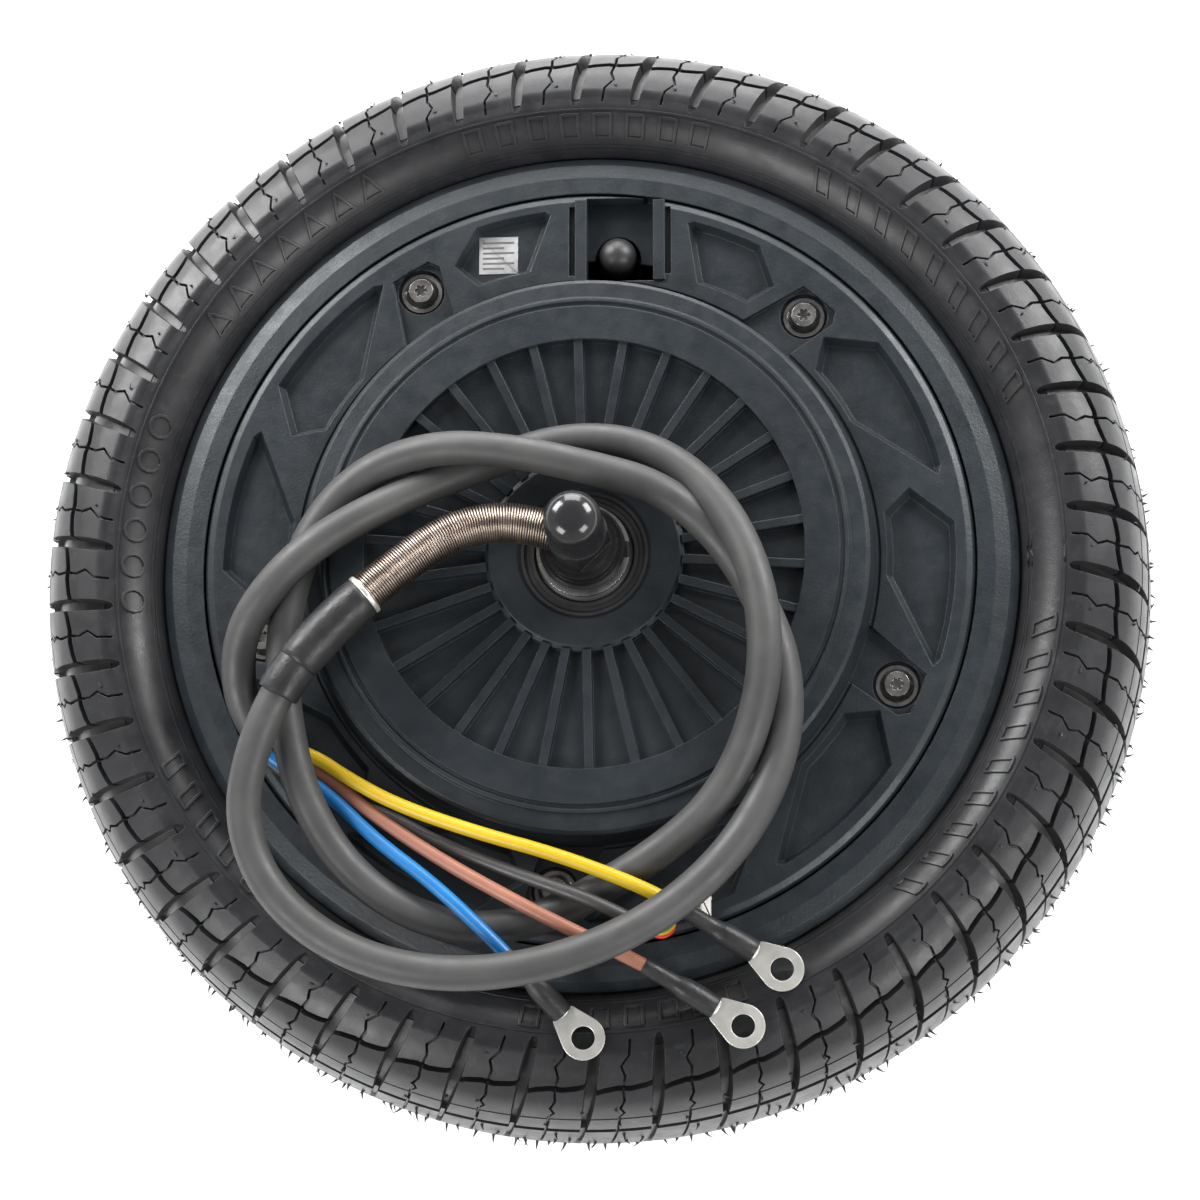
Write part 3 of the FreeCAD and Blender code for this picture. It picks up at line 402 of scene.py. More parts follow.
def lathe(name, outline, centre, sides, body, slot, replaced=(), ribs=None):
    """A piece turned about an upright axis; ribs(row, share) may change the radius around it."""
    verts = []
    for row, (radius, height) in enumerate(outline):
        for side in range(sides):
            share = side / sides
            wide = radius + (ribs(row, share) if ribs else 0.0)
            angle = math.tau * share
            verts.append(centre + mm(wide * math.cos(angle), wide * math.sin(angle), height))
    faces = grid_faces(len(outline), sides)
    faces.append(tuple(reversed(range(sides))))
    faces.append(tuple(range((len(outline) - 1) * sides, len(outline) * sides)))
    return piece(name, verts, faces, body, slot, replaced)


def nurbs(name, route):
    """A curve object whose one NURBS spline has the route's points as its control points."""
    data = bpy.data.curves.new(name, "CURVE")
    data.dimensions = "3D"
    data.resolution_u = 14
    spline = data.splines.new("NURBS")
    spline.points.add(len(route) - 1)
    for point, place in zip(spline.points, route):
        point.co = (*mm(*place), 1)
    spline.order_u = 3
    spline.use_endpoint_u = True
    return bpy.data.objects.new(name, data)


def curve_points(route):
    """Points read from a route's NURBS spline, in millimetres."""
    guide = nurbs("guide", route)
    mesh = bpy.data.meshes.new_from_object(guide)
    points = [vert.co / MM for vert in mesh.vertices]
    data = guide.data
    bpy.data.objects.remove(guide)
    bpy.data.curves.remove(data)
    bpy.data.meshes.remove(mesh)
    return points


def along(route, start, stop, spacing):
    """Even stations (distance, point, normal, binormal) on a stretch of a route, in millimetres."""
    points = curve_points(route)
    distances = [0.0]
    for first, second in zip(points[:-1], points[1:]):
        distances.append(distances[-1] + (second - first).length)
    stop = distances[-1] if stop is None else stop
    start = distances[-1] + start if start < 0 else start
    count = max(2, int(round((stop - start) / spacing)))
    stations = []
    normal = None
    segment = 0
    for index in range(count + 1):
        wanted = start + (stop - start) * index / count
        while segment < len(points) - 2 and distances[segment + 1] < wanted:
            segment += 1
        run = points[segment + 1] - points[segment]
        share = (wanted - distances[segment]) / run.length
        heading = run.normalized()
        normal = heading.orthogonal().normalized() if normal is None else normal
        normal = (normal - heading * normal.dot(heading)).normalized()
        stations.append((wanted - start, points[segment] + run * share, normal, heading.cross(normal)))
    return stations


def sleeve(name, stations, profile, body, slot, replaced, sides=28):
    """A closed tube over a route; profile gives (share along it, radius, crease) from rim to rim."""
    total = stations[-1][0]
    verts = []
    for share, radius, wrinkle in profile:
        wanted = share * total
        nearest = min(stations, key=lambda station: abs(station[0] - wanted))
        _, centre, normal, binormal = nearest
        for side in range(sides):
            angle = math.tau * side / sides
            swell = wrinkle * math.sin(3 * angle + 9 * share) * math.sin(17 * share + 2 * angle)
            outward = normal * math.cos(angle) + binormal * math.sin(angle)
            verts.append((centre + outward * (radius + swell)) * MM)
    faces = grid_faces(len(profile), sides)
    faces.append(tuple(reversed(range(sides))))
    faces.append(tuple(range(len(verts) - sides, len(verts))))
    return piece(name, verts, faces, body, slot, replaced, 50.0)


# ---------------------------------------------------------------- cords

CABLE_ROUTE = [
    (-3.0, 0.9, 51.5), (-12.0, 3.7, 52.0), (-22.0, 3.8, 53.0), (-32.0, 0.0, 54.2),
    (-44.0, -9.2, 55.4), (-56.0, -20.0, 56.0), (-66.5, -32.0, 55.6), (-74.0, -47.5, 53.6),
    (-77.0, -63.5, 51.2), (-71.0, -79.5, 50.4), (-57.0, -92.0, 50.6), (-38.0, -99.0, 51.0),
    (-17.0, -99.5, 51.2), (4.5, -94.0, 51.0), (24.0, -83.0, 50.4), (38.5, -67.0, 48.5),
    (46.5, -48.0, 46.0), (47.0, -29.0, 44.6), (40.5, -12.0, 44.6), (31.0, 2.5, 46.5),
    (18.0, 12.5, 50.0), (2.0, 16.5, 53.0), (-15.5, 20.5, 54.0), (-33.0, 22.5, 52.0),
    (-49.5, 18.5, 48.0), (-62.0, 7.0, 44.9), (-68.0, -9.5, 44.5), (-69.5, -26.0, 44.5),
    (-67.8, -42.0, 45.0), (-64.0, -57.5, 44.2), (-55.5, -72.5, 41.0), (-42.5, -83.0, 38.2),
    (-26.5, -88.0, 37.2), (-10.5, -86.0, 37.2), (4.5, -78.5, 38.0), (18.5, -70.5, 41.5),
    (30.5, -61.0, 46.0), (38.5, -47.5, 50.0), (42.5, -31.5, 53.3), (41.8, -14.5, 53.6),
    (36.5, 1.5, 51.2), (27.0, 15.0, 48.0), (13.5, 24.0, 45.2), (-3.0, 25.8, 44.5),
    (-18.5, 21.4, 44.7), (-34.5, 14.8, 47.0), (-50.0, 6.8, 51.5), (-63.5, -2.5, 53.8),
    (-73.5, -12.5, 51.0), (-78.8, -20.5, 46.5), (-80.2, -29.5, 41.2), (-78.4, -37.5, 37.7),
    (-74.2, -43.5, 36.2),
]
YELLOW_ROUTE = [
    (-72.0, -43.4, 37.9), (-67.8, -45.4, 37.6), (-61.7, -47.6, 37.9), (-54.7, -52.5, 38.5),
    (-42.5, -59.5, 40.8), (-24.0, -66.4, 43.2), (-5.5, -71.8, 44.3), (13.0, -79.0, 44.3),
    (22.6, -84.0, 42.0), (31.0, -89.0, 38.6), (38.7, -93.3, 36.8),
]
BROWN_ROUTE = [
    (-73.4, -43.0, 34.3), (-68.4, -46.4, 34.4), (-61.1, -50.5, 35.3), (-49.4, -60.6, 38.4),
    (-32.6, -72.2, 41.3), (-14.0, -82.8, 43.6), (-1.0, -89.5, 43.8), (12.0, -95.6, 41.6),
    (21.0, -100.6, 38.4), (29.8, -105.9, 36.8),
]
BLUE_ROUTE = [
    (-75.4, -44.7, 37.6), (-71.0, -48.7, 37.2), (-65.5, -51.6, 37.2), (-58.6, -56.5, 37.7),
    (-47.5, -67.4, 40.4), (-33.0, -78.5, 43.4), (-19.5, -91.5, 43.8), (-11.8, -99.4, 40.6),
    (-4.9, -106.9, 36.8),
]
HALL_ROUTE = [
    (-76.5, -44.6, 34.3), (-71.8, -49.3, 34.0), (-62.8, -53.9, 34.0), (-53.8, -58.3, 34.0),
    (-46.0, -60.6, 35.0), (-32.5, -68.4, 37.8), (-14.5, -75.8, 41.4), (-1.0, -81.0, 43.8),
    (6.0, -84.0, 43.4), (11.5, -86.6, 42.0),
]
# Each phase wire's route, slot and the middle of its terminal's ring.
PHASE_WIRES = {
    "yellow": (YELLOW_ROUTE, "yellow", (44.8, -97.3)),
    "brown": (BROWN_ROUTE, "orange", (35.9, -110.0)),
    "blue": (BLUE_ROUTE, "blue", (-0.2, -112.4)),
}
THIN_WIRES = ["red", "yellow", "green", "white", "blue"]
CABLE_DIAMETER = 8.0
WIRE_DIAMETER = 3.2
THIN_WIRE_DIAMETER = 1.0


def make_cord(name, route, diameter, slot, node):
    """A round cord on the stator that stands for one node."""
    made = nurbs(name, route)
    made.data.bevel_depth = diameter / 2 * MM
    made.data.bevel_resolution = 5
    made.data.use_fill_caps = True
    made.data.materials.append(finish(slot))
    bpy.context.scene.collection.objects.link(made)
    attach(made, "stator")
    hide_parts(node)
    return made


def route_length(route):
    """Length of a route's smooth line, in metres."""
    points = curve_points(route)
    return sum((second - first).length for first, second in zip(points[:-1], points[1:])) * MM


def declare(route, with_pieces):
    round(route_length(route), 4)


def make_cords():
    cable = make_cord("cable", CABLE_ROUTE, CABLE_DIAMETER, "cable", "motor_cable")
    declare(CABLE_ROUTE, make_cable_sleeves())
    for colour, (route, slot, ring_centre) in PHASE_WIRES.items():
        wire = make_cord("wire_" + colour, route, WIRE_DIAMETER, slot, "phase_wire_" + colour)
        fittings = [make_boot(colour, route), make_terminal(colour, route, ring_centre)]
        declare(route, fittings)
    lead = make_cord("hall_cord", HALL_ROUTE, WIRE_DIAMETER, "lead", "hall_lead")
    declare(HALL_ROUTE, make_thin_wires() + [make_connector()])


def make_thin_wires():
    """Five short wires, too short to be cords, in nested loops from the lead's end to the connector."""
    made = []
    for index, colour in enumerate(THIN_WIRES):
        turn = math.tau * index / len(THIN_WIRES)
        droop = 2.4 - 0.7 * index
        rise = 0.65 * index
        route = [(11.3, -86.5 + 0.85 * math.cos(turn), 42.0 + 0.85 * math.sin(turn)),
                 (13.8, -87.3 - droop * 0.5, 40.6 + rise * 0.5), (17.6, -88.0 - droop, 37.8 + rise),
                 (20.6, -86.8 - droop * 0.6 + 0.3 * index, 36.4 + rise * 0.6),
                 (20.2, -85.2 + 0.95 * index, 35.4), (21.4, -84.9 + 0.95 * index, 35.2)]
        made.append(make_cord("thin_" + colour, route, THIN_WIRE_DIAMETER, colour, "hall_wire_" + colour))
    return made


# Millimetres between the stations of a sleeve, and the spring's measures.
STATION_SPACING = 0.02
SPRING_START = 1.2
SPRING_STOP = 50.6
SPRING_PITCH = 0.62
SPRING_CLEARANCE = 0.33
SPRING_STATIONS_PER_TURN = 22
SPRING_HALF_LENGTH = 0.255
SPRING_HALF_HEIGHT = 0.26


def make_spring():
    """The close-wound wire around the cable's first stretch."""
    coil_radius = CABLE_DIAMETER / 2 + SPRING_CLEARANCE
    stations = along(CABLE_ROUTE, SPRING_START, SPRING_STOP, SPRING_PITCH / SPRING_STATIONS_PER_TURN)
    sides = 8
    verts = []
    for index, (_, centre, normal, binormal) in enumerate(stations):
        angle = math.tau * index / SPRING_STATIONS_PER_TURN
        outward = normal * math.cos(angle) + binormal * math.sin(angle)
        heading = normal.cross(binormal)
        for side in range(sides):
            turn = math.tau * side / sides
            offset = (outward * (coil_radius + SPRING_HALF_HEIGHT * math.cos(turn))
                      - heading * SPRING_HALF_LENGTH * math.sin(turn))
            verts.append((centre + offset) * MM)
    faces = grid_faces(len(stations), sides)
    faces += [tuple(reversed(range(sides))), tuple(range(len(verts) - sides, len(verts)))]
    return piece("spring", verts, faces, "stator", "spring_steel", ("cable_spring",), 80.0)


def sleeve_profile(inner, outer, taper, wrinkle, rows):
    """From the first rim over the outside to the second rim, ending inside the cable's surface."""
    profile = [(0.0, inner, 0.0), (0.0, outer - taper - 0.3, 0.0), (0.02, outer - taper, 0.0)]
    for row in range(rows + 1):
        share = 0.06 + 0.88 * row / rows
        ends = min(1.0, min(share, 1 - share) / 0.12)
        profile.append((share, outer - taper * (1 - ends), wrinkle * ends))
    profile += [(0.98, outer - taper, 0.0), (1.0, outer - taper - 0.3, 0.0), (1.0, inner, 0.0)]
    return profile


def make_cable_sleeves():
    hidden = CABLE_DIAMETER / 2 - 0.3
    parts = [make_spring()]
    sleeves = [("ferrule", "spring_ferrule", 50.6, 51.9, 5.05, 0.4, 0.0, "tin", 6),
               ("sleeve_large", "heat_shrink_large", 51.8, 73.0, 5.15, 0.16, 0.05, "shrink", 26),
               ("sleeve_small", "heat_shrink_small", 72.9, 81.5, 4.95, 0.12, 0.05, "shrink", 16)]
    for name, node, start, stop, outer, taper, wrinkle, slot, rows in sleeves:
        stations = along(CABLE_ROUTE, start, stop, STATION_SPACING)
        profile = sleeve_profile(hidden, outer, taper, wrinkle, rows)
        parts.append(sleeve(name, stations, profile, "stator", slot, (node,)))
    return parts


BOOT_LENGTH = 19.0
# Share of the boot's length, radius and crease: thin over the wire, then wider over the crimp.
BOOT_PROFILE = [
    (0.0, 1.4, 0.0), (0.0, 1.88, 0.0), (0.02, 1.96, 0.0), (0.15, 1.98, 0.04), (0.3, 2.0, 0.05),
    (0.42, 2.04, 0.04), (0.48, 2.25, 0.03), (0.54, 2.58, 0.03), (0.6, 2.7, 0.05), (0.72, 2.74, 0.07),
    (0.84, 2.72, 0.07), (0.93, 2.66, 0.05), (0.985, 2.62, 0.0), (1.0, 2.52, 0.0), (1.0, 1.4, 0.0),
]


def make_boot(colour, route):
    stations = along(route, -BOOT_LENGTH, None, STATION_SPACING)
    return sleeve("boot_" + colour, stations, BOOT_PROFILE, "stator", "shrink", ("wire_boot_" + colour,), 24)


# ---------------------------------------------------------------- ring terminals and connector

LUG_RADIUS = 5.0
LUG_HOLE = 2.65
LUG_THICKNESS = 0.9
LUG_NECK_HALF_WIDTH = 2.7


def teardrop(angle, reach):
    """Distance from the ring's centre to its outline: a circle with sides that run into a base at angle 0."""
    off = abs((angle + math.pi) % math.tau - math.pi)
    tongue = reach / max(math.cos(off), 0.001) if off < math.pi / 2 else 0.0
    if math.tan(min(off, 1.5)) * reach <= LUG_NECK_HALF_WIDTH:
        return tongue
    corner = math.atan2(LUG_NECK_HALF_WIDTH, reach)
    touch = math.acos(LUG_RADIUS / math.hypot(reach, LUG_NECK_HALF_WIDTH)) + corner
    if off >= touch:
        return LUG_RADIUS
    return LUG_RADIUS / math.cos(touch - off)


def make_terminal(colour, route, ring_centre):
    """A crimp barrel that flattens into a teardrop plate with a bolt hole."""
    end = Vector(route[-1])
    low = end.z - LUG_THICKNESS
    centre = Vector((*ring_centre, low))
    heading = Vector((centre.x - end.x, centre.y - end.y, 0)).normalized()
    across = Vector((-heading.y, heading.x, 0))
    reach = (Vector((centre.x, centre.y)) - Vector((end.x, end.y))).length + 0.4
    sides = 64
    # The plate's section as (radius, height), None where the radius is the teardrop's, and each row's inset.
    rows = [(LUG_HOLE, 0.12), (LUG_HOLE + 0.12, 0.0), (None, 0.0), (None, 0.12), (None, 0.78), (None, 0.90),
            (LUG_HOLE + 0.12, 0.90), (LUG_HOLE, 0.78)]
    inset = [0, 0, 0.12, 0, 0, 0.12, 0, 0]
    verts = []
    for (radius, height), back in zip(rows, inset):
        for side in range(sides):
            angle = math.tau * side / sides
            wide = radius if radius else teardrop(angle, reach) - back
            flat = -heading * math.cos(angle) * wide - across * math.sin(angle) * wide
            verts.append((centre + flat + UP * height) * MM)
    faces = grid_faces(len(rows), sides, wrap_rows=True)
    base = len(verts)
    # The crimp barrel's loops: place along it, half width, half height and rise.
    loops = [(-1.2, 1.85, 1.85, 0.0), (-0.3, 1.9, 1.5, -0.1), (0.3, 1.9, 0.7, -0.38), (0.8, 1.8, 0.3, -0.45)]
    ring_sides = 20
    for distance, half_wide, half_high, rise in loops:
        for side in range(ring_sides):
            angle = math.tau * side / ring_sides
            offset = across * half_wide * math.cos(angle) + UP * (half_high * math.sin(angle) + rise)
            verts.append((end + heading * distance + offset) * MM)
    faces += [tuple(base + index for index in face) for face in grid_faces(len(loops), ring_sides)]
    faces.append(tuple(base + side for side in reversed(range(ring_sides))))
    faces.append(tuple(base + (len(loops) - 1) * ring_sides + side for side in range(ring_sides)))
    return piece("terminal_" + colour, verts, faces, "stator", "tin", ("ring_terminal_" + colour,), 40.0)


def rounded_box(low, high, edge):
    """Vertices and faces of a box whose edges are cut at 45 degrees."""
    verts = []
    rings = [(edge, low.z), (0.0, low.z + edge), (0.0, high.z - edge), (edge, high.z)]
    for inset, height in rings:
        for x_first, y_first in ((0, 0), (1, 0), (1, 1), (0, 1)):
            x = (low.x + inset, high.x - inset)[x_first]
            y = (low.y + inset, high.y - inset)[y_first]
            turn = 1 if x_first == y_first else 0
            for step in (turn, 1 - turn):
                shift_x = edge * (1 if not x_first else -1) * step
                shift_y = edge * (1 if not y_first else -1) * (1 - step)
                verts.append(Vector((x + shift_x, y + shift_y, height)))
    columns = 8
    faces = grid_faces(len(rings), columns)
    faces.append(tuple(reversed(range(columns))))
    faces.append(tuple(range(len(verts) - columns, len(verts))))
    return verts, faces


def make_connector():
    """A white five-way housing: body, two guide rails, a latch and the walls between its ways."""
    low, high = (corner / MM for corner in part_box("hall_connector"))
    blocks = [(low, Vector((high.x, high.y, low.z + 4.2)), 0.25)]
    ways = 5
    pitch = (high.y - low.y) / ways
    for wall in range(ways + 1):
        middle = low.y + pitch * wall
        thick = 0.35 if wall in (0, ways) else 0.16
        start = max(low.y, middle - thick)
        stop = min(high.y, middle + thick)
        blocks.append((Vector((low.x + 0.3, start, low.z + 3.6)), Vector((high.x - 2.4, stop, high.z)), 0.08))
    blocks.append((Vector((high.x - 2.6, low.y, low.z + 3.6)), Vector((high.x, high.y, high.z)), 0.2))
    verts = []
    faces = []
    for corner_low, corner_high, edge in blocks:
        part_verts, part_faces = rounded_box(corner_low, corner_high, edge)
        faces += [tuple(len(verts) + index for index in face) for face in part_faces]
        verts += [vert * MM for vert in part_verts]
    return piece("connector", verts, faces, "stator", "white", ("hall_connector",), 30.0)


# ---------------------------------------------------------------- tyre

# The tread repeats PITCHES times from PHASE degrees; its grooves lean by SLANT degrees over SLANT_REACH.
PITCHES = 50
PITCH = 360.0 / PITCHES
PHASE = -2.2
SLANT = 2.0
SLANT_REACH = 26.9
GROOVE_END = 46.5
SIPE_HALF_WIDTH = 0.34
# Half of the tyre's section, from the crown to the bead lip: radius, height.
SECTION = [
    (133.35, 0.0), (132.75, 10.0), (131.05, 19.5), (129.2, 24.8), (126.5, 29.2),
    (121.5, 33.0), (115.4, 35.0), (114.9, 34.75), (113.5, 34.7), (111.0, 34.5),
    (107.6, 33.0), (104.6, 30.4), (102.4, 27.4), (101.4, 25.4),
]
GROOVE_WIDTHS = [(0.0, 1.3), (15.3, 1.4), (17.6, 1.7), (20.0, 1.8), (26.0, 2.4), (33.0, 3.0), (40.0, 2.9),
                 (44.0, 2.5), (45.6, 1.9), (46.3, 1.1), (46.8, 0.8), (70.0, 0.8)]
GROOVE_DEPTHS = [(0.0, 1.1), (15.3, 1.1), (17.5, 3.0), (36.0, 3.3), (43.0, 3.0), (45.6, 2.4), (46.3, 1.5),
                 (46.5, 0.0), (70.0, 0.0)]
SIPE_DEPTHS = [(0.0, 0.9), (15.3, 0.9), (17.6, 1.6), (45.6, 1.3), (45.8, 0.0), (70.0, 0.0)]
ZIGZAG = [(0.0, -0.3), (17.6, -0.3), (22.0, -0.35), (25.0, -0.6), (26.6, 0.5), (28.4, -0.6), (30.6, 0.2),
          (34.2, -0.3), (37.2, 0.0), (39.6, -1.1), (42.0, 0.6), (45.8, 0.5), (70.0, 0.4)]
# Rows across the section: distance from the crown, share that follows the wavy groove, and depth cut there.
ROWS = [(0.0, 0, 0.0), (5.0, 0, 0.0), (10.0, 0, 0.0), (15.2, 0, 0.0), (15.5, 0, 2.6), (17.3, 0, 2.6),
        (17.6, 0, 0.0), (20.0, 0, 0.0), (22.0, 0, 0.0), (23.7, 0, 0.0), (23.85, 0, 0.45), (24.15, 0, 0.45),
        (24.3, 0, 0.0), (25.0, 0, 0.0), (26.6, 0, 0.0), (28.4, 0, 0.0), (30.6, 0, 0.0), (33.5, 1, 0.0),
        (33.7, 1, 2.1), (34.75, 1, 2.1), (34.95, 1, 0.0), (37.2, 0.3, 0.0), (38.4, 0, 0.0), (39.6, 0, 0.0),
        (42.0, 0, 0.0), (43.2, 0, 0.0), (44.3, 0, 0.0), (44.9, 0, 0.0), (45.6, 0, 0.0), (45.8, 0, 0.0),
        (46.3, 0, 0.0), (46.5, 0, 0.0), (48.0, 0, 0.0), (50.0, 0, 0.0), (52.0, 0, 0.0), (54.0, 0, 0.0),
        (56.0, 0, 0.0), (58.0, 0, 0.0), (60.0, 0, 0.0)]


def table(pairs, value):
    """Straight-line reading of a list of (place, value) pairs."""
    for (first, low), (second, high) in zip(pairs[:-1], pairs[1:]):
        if value <= second:
            return low + (high - low) * max(0.0, value - first) / (second - first)
    return pairs[-1][1]


def smooth_section():
    """The section's outline as a fine polyline: (distance, radius, height)."""
    points = [Vector(point) for point in SECTION]
    before = [Vector((points[1].x, -points[1].y))] + points[:-1]
    after = points[1:] + [points[-1] * 2 - points[-2]]
    line = []
    distance = 0.0
    for index in range(len(points) - 1):
        start, stop = points[index], points[index + 1]
        leaving = (stop - before[index]) / 2
        arriving = (after[index + 1] - start) / 2
        reach = (stop - start).length
        leaving *= min(1.0, reach / max(leaving.length, 0.001))
        arriving *= min(1.0, reach / max(arriving.length, 0.001))
        for step in range(12):
            share = step / 12
            place = (start * (2 * share ** 3 - 3 * share ** 2 + 1)
                     + leaving * (share ** 3 - 2 * share ** 2 + share)
                     + stop * (3 * share ** 2 - 2 * share ** 3)
                     + arriving * (share ** 3 - share ** 2))
            if line:
                distance += (place - Vector(line[-1][1:])).length
            line.append((distance, place.x, place.y))
    line.append((distance + (points[-1] - Vector(line[-1][1:])).length, points[-1].x, points[-1].y))
    return line


SECTION_LINE = smooth_section()


def on_section(distance):
    """Radius, height and outward normal at a distance from the crown; negative is the lower half."""
    side = -1.0 if distance < 0 else 1.0
    wanted = min(abs(distance), SECTION_LINE[-1][0] - 0.01)
    index = 0
    while SECTION_LINE[index + 1][0] < wanted:
        index += 1
    first, second = SECTION_LINE[index], SECTION_LINE[index + 1]
    share = (wanted - first[0]) / (second[0] - first[0])
    radius = first[1] + (second[1] - first[1]) * share
    height = first[2] + (second[2] - first[2]) * share
    run = Vector((second[1] - first[1], second[2] - first[2])).normalized()
    return radius, height * side, run.y, -run.x * side


def wave(share):
    """The wavy groove's shift along the section, from one main groove to the next."""
    return table([(0.0, -0.85), (0.45, 0.35), (0.56, -0.15), (1.0, 0.85)], share)


def groove_columns():
    """One pitch of columns: (what it belongs to, edge offset in half widths, share of the pitch)."""
    columns = [("main", -1.0, 0.0), ("main", -0.72, 0.0), ("main", 0.72, 0.0), ("main", 1.0, 0.0)]
    columns += [("block", 0, share) for share in (0.19, 0.30, 0.41)]
    columns += [("sipe", -1.0, 0.5), ("sipe", -0.6, 0.5), ("sipe", 0.6, 0.5), ("sipe", 1.0, 0.5)]
    columns += [("block", 0, share) for share in (0.59, 0.70, 0.81)]
    return columns


def tread_vertex(pitch, column, row, half):
    """One vertex of the tread; half is 1 for the upper side and -1 for the lower."""
    kind, edge, share = column
    place, follow, depth = row
    distance = place + follow * wave(1.0 if kind == "main" and edge < 0 else share)
    radius, height, out_r, out_z = on_section(distance * half)
    slant = -SLANT * max(0.0, GROOVE_END - distance) / SLANT_REACH
    if kind == "main":
        offset = edge * table(GROOVE_WIDTHS, distance) / 2
        if abs(edge) < 1:
            depth = max(depth, table(GROOVE_DEPTHS, distance))
    elif kind == "sipe":
        offset = edge * SIPE_HALF_WIDTH + table(ZIGZAG, distance)
        if abs(edge) < 1:
            depth = max(depth, table(SIPE_DEPTHS, distance))
    else:
        offset = table(ZIGZAG, distance) * (1 - abs(share - 0.5) * 3.0)
    angle = math.radians(PHASE + PITCH * (pitch + share) + slant) + offset / radius
    radius -= depth * out_r
    height -= depth * out_z
    return mm(radius * math.cos(angle), radius * math.sin(angle), height)


def make_tyre():
    """The whole tyre as one closed skin: tread and sidewalls, then the hidden inside."""
    columns = groove_columns()
    rows = [(row, 1.0) for row in reversed(ROWS)] + [(row, -1.0) for row in ROWS[1:]]
    verts = []
    for row, half in rows:
        for pitch in range(PITCHES):
            verts += [tread_vertex(pitch, column, row, half) for column in columns]
    around = len(columns) * PITCHES
    inside = [(98.8, -24.2), (90.0, -23.4), (90.0, 23.4), (98.8, 24.2), (101.4, 25.4)]
    for radius, height in inside:
        for index in range(around):
            vert = verts[index]
            angle = math.atan2(vert.y, vert.x)
            verts.append(mm(radius * math.cos(angle), radius * math.sin(angle), height))
    faces = [tuple(reversed(face)) for face in grid_faces(len(rows) + len(inside), around, wrap_rows=True)]
    return piece("tyre_tread", verts, faces, "wheel", "tyre", ("tyre",), 32.0)


def section_point(angle, distance, lift):
    """A point above the tyre's surface, in metres."""
    radius, height, out_r, out_z = on_section(distance)
    return mm((radius + lift * out_r) * math.cos(angle), (radius + lift * out_r) * math.sin(angle),
              height + lift * out_z)


CROWN_RADIUS = 130.0
SIDEWALL_RADIUS = 108.0


def make_vent_hairs():
    """Thin moulding whiskers on the blocks, each a small bent spike."""
    chance = random.Random(7)
    places = [
        (0.1, 0.0), (0.22, 5.0), (0.34, -4.0), (0.46, 8.0), (0.6, -8.0), (0.7, 0.0),
        (0.82, 4.0), (0.92, -5.0), (0.27, 13.0), (0.73, -13.0), (0.25, 28.0), (0.74, 27.0),
        (0.25, -28.0), (0.74, -27.0), (0.2, 20.5), (0.8, -20.5), (0.3, 41.0), (0.3, -41.0),
    ]
    verts = []
    faces = []
    for pitch in range(PITCHES):
        for share, distance in places:
            if chance.random() < 0.2:
                continue
            angle = math.radians(PHASE + PITCH * (pitch + share + chance.uniform(-0.04, 0.04)))
            tall = chance.uniform(0.4, 1.2) if abs(distance) > 16 else chance.uniform(0.9, 2.1)
            lean = chance.uniform(-0.012, 0.012)
            base = len(verts)
            rings = ((-0.3, 0.42, 0.0), (0.3, 0.32, 0.0), (tall * 0.6, 0.20, 0.4), (tall, 0.06, 1.0))
            for height, wide, bend in rings:
                for corner in range(4):
                    turn = math.tau * corner / 4
                    verts.append(section_point(angle + lean * bend + wide * math.cos(turn) / CROWN_RADIUS,
                                               distance + wide * math.sin(turn), height))
            faces += [tuple(base + index for index in face) for face in grid_faces(4, 4)]
            faces.append((base + 3, base + 2, base + 1, base))
            faces.append((base + 12, base + 13, base + 14, base + 15))
    return piece("vent_hairs", verts, faces, "wheel", "tyre", (), 60.0)


def ribbon(verts, faces, line, half_width=0.32, rise=0.45):
    """A raised closed line on the sidewall; line holds (angle, distance from the crown)."""
    count = len(line)
    base = len(verts)
    for index, (angle, distance) in enumerate(line):
        before = line[index - 1]
        after = line[(index + 1) % count]
        run = Vector(((after[0] - before[0]) * SIDEWALL_RADIUS, after[1] - before[1])).normalized()
        side = Vector((-run.y, run.x))
        for reach, lift in ((1.6, -0.15), (1.0, rise), (-1.0, rise), (-1.6, -0.15)):
            verts.append(section_point(angle + side.x * reach * half_width / SIDEWALL_RADIUS,
                                       distance + side.y * reach * half_width, lift))
    faces += [tuple(base + corner for corner in face) for face in grid_faces(count, 4, wrap_rows=True)]


STEPS_PER_EDGE = 5


def outline(kind):
    """A plain mark's closed outline in a unit cell, as (across, up) points."""
    if kind == "bar":
        corners = [(0.1, 0.0), (0.9, 0.0), (0.9, 1.0), (0.1, 1.0)]
    elif kind == "leaning":
        corners = [(0.0, 0.0), (0.6, 0.0), (1.0, 1.0), (0.4, 1.0)]
    elif kind == "peak":
        corners = [(0.0, 0.0), (1.0, 0.0), (0.5, 1.0)]
    else:
        corners = [(0.5 + 0.5 * math.cos(math.tau * index / 12), 0.5 + 0.5 * math.sin(math.tau * index / 12))
                   for index in range(12)]
    line = []
    for first, second in zip(corners, corners[1:] + corners[:1]):
        for step in range(STEPS_PER_EDGE):
            share = step / STEPS_PER_EDGE
            line.append((first[0] + (second[0] - first[0]) * share,
                         first[1] + (second[1] - first[1]) * share))
    return line


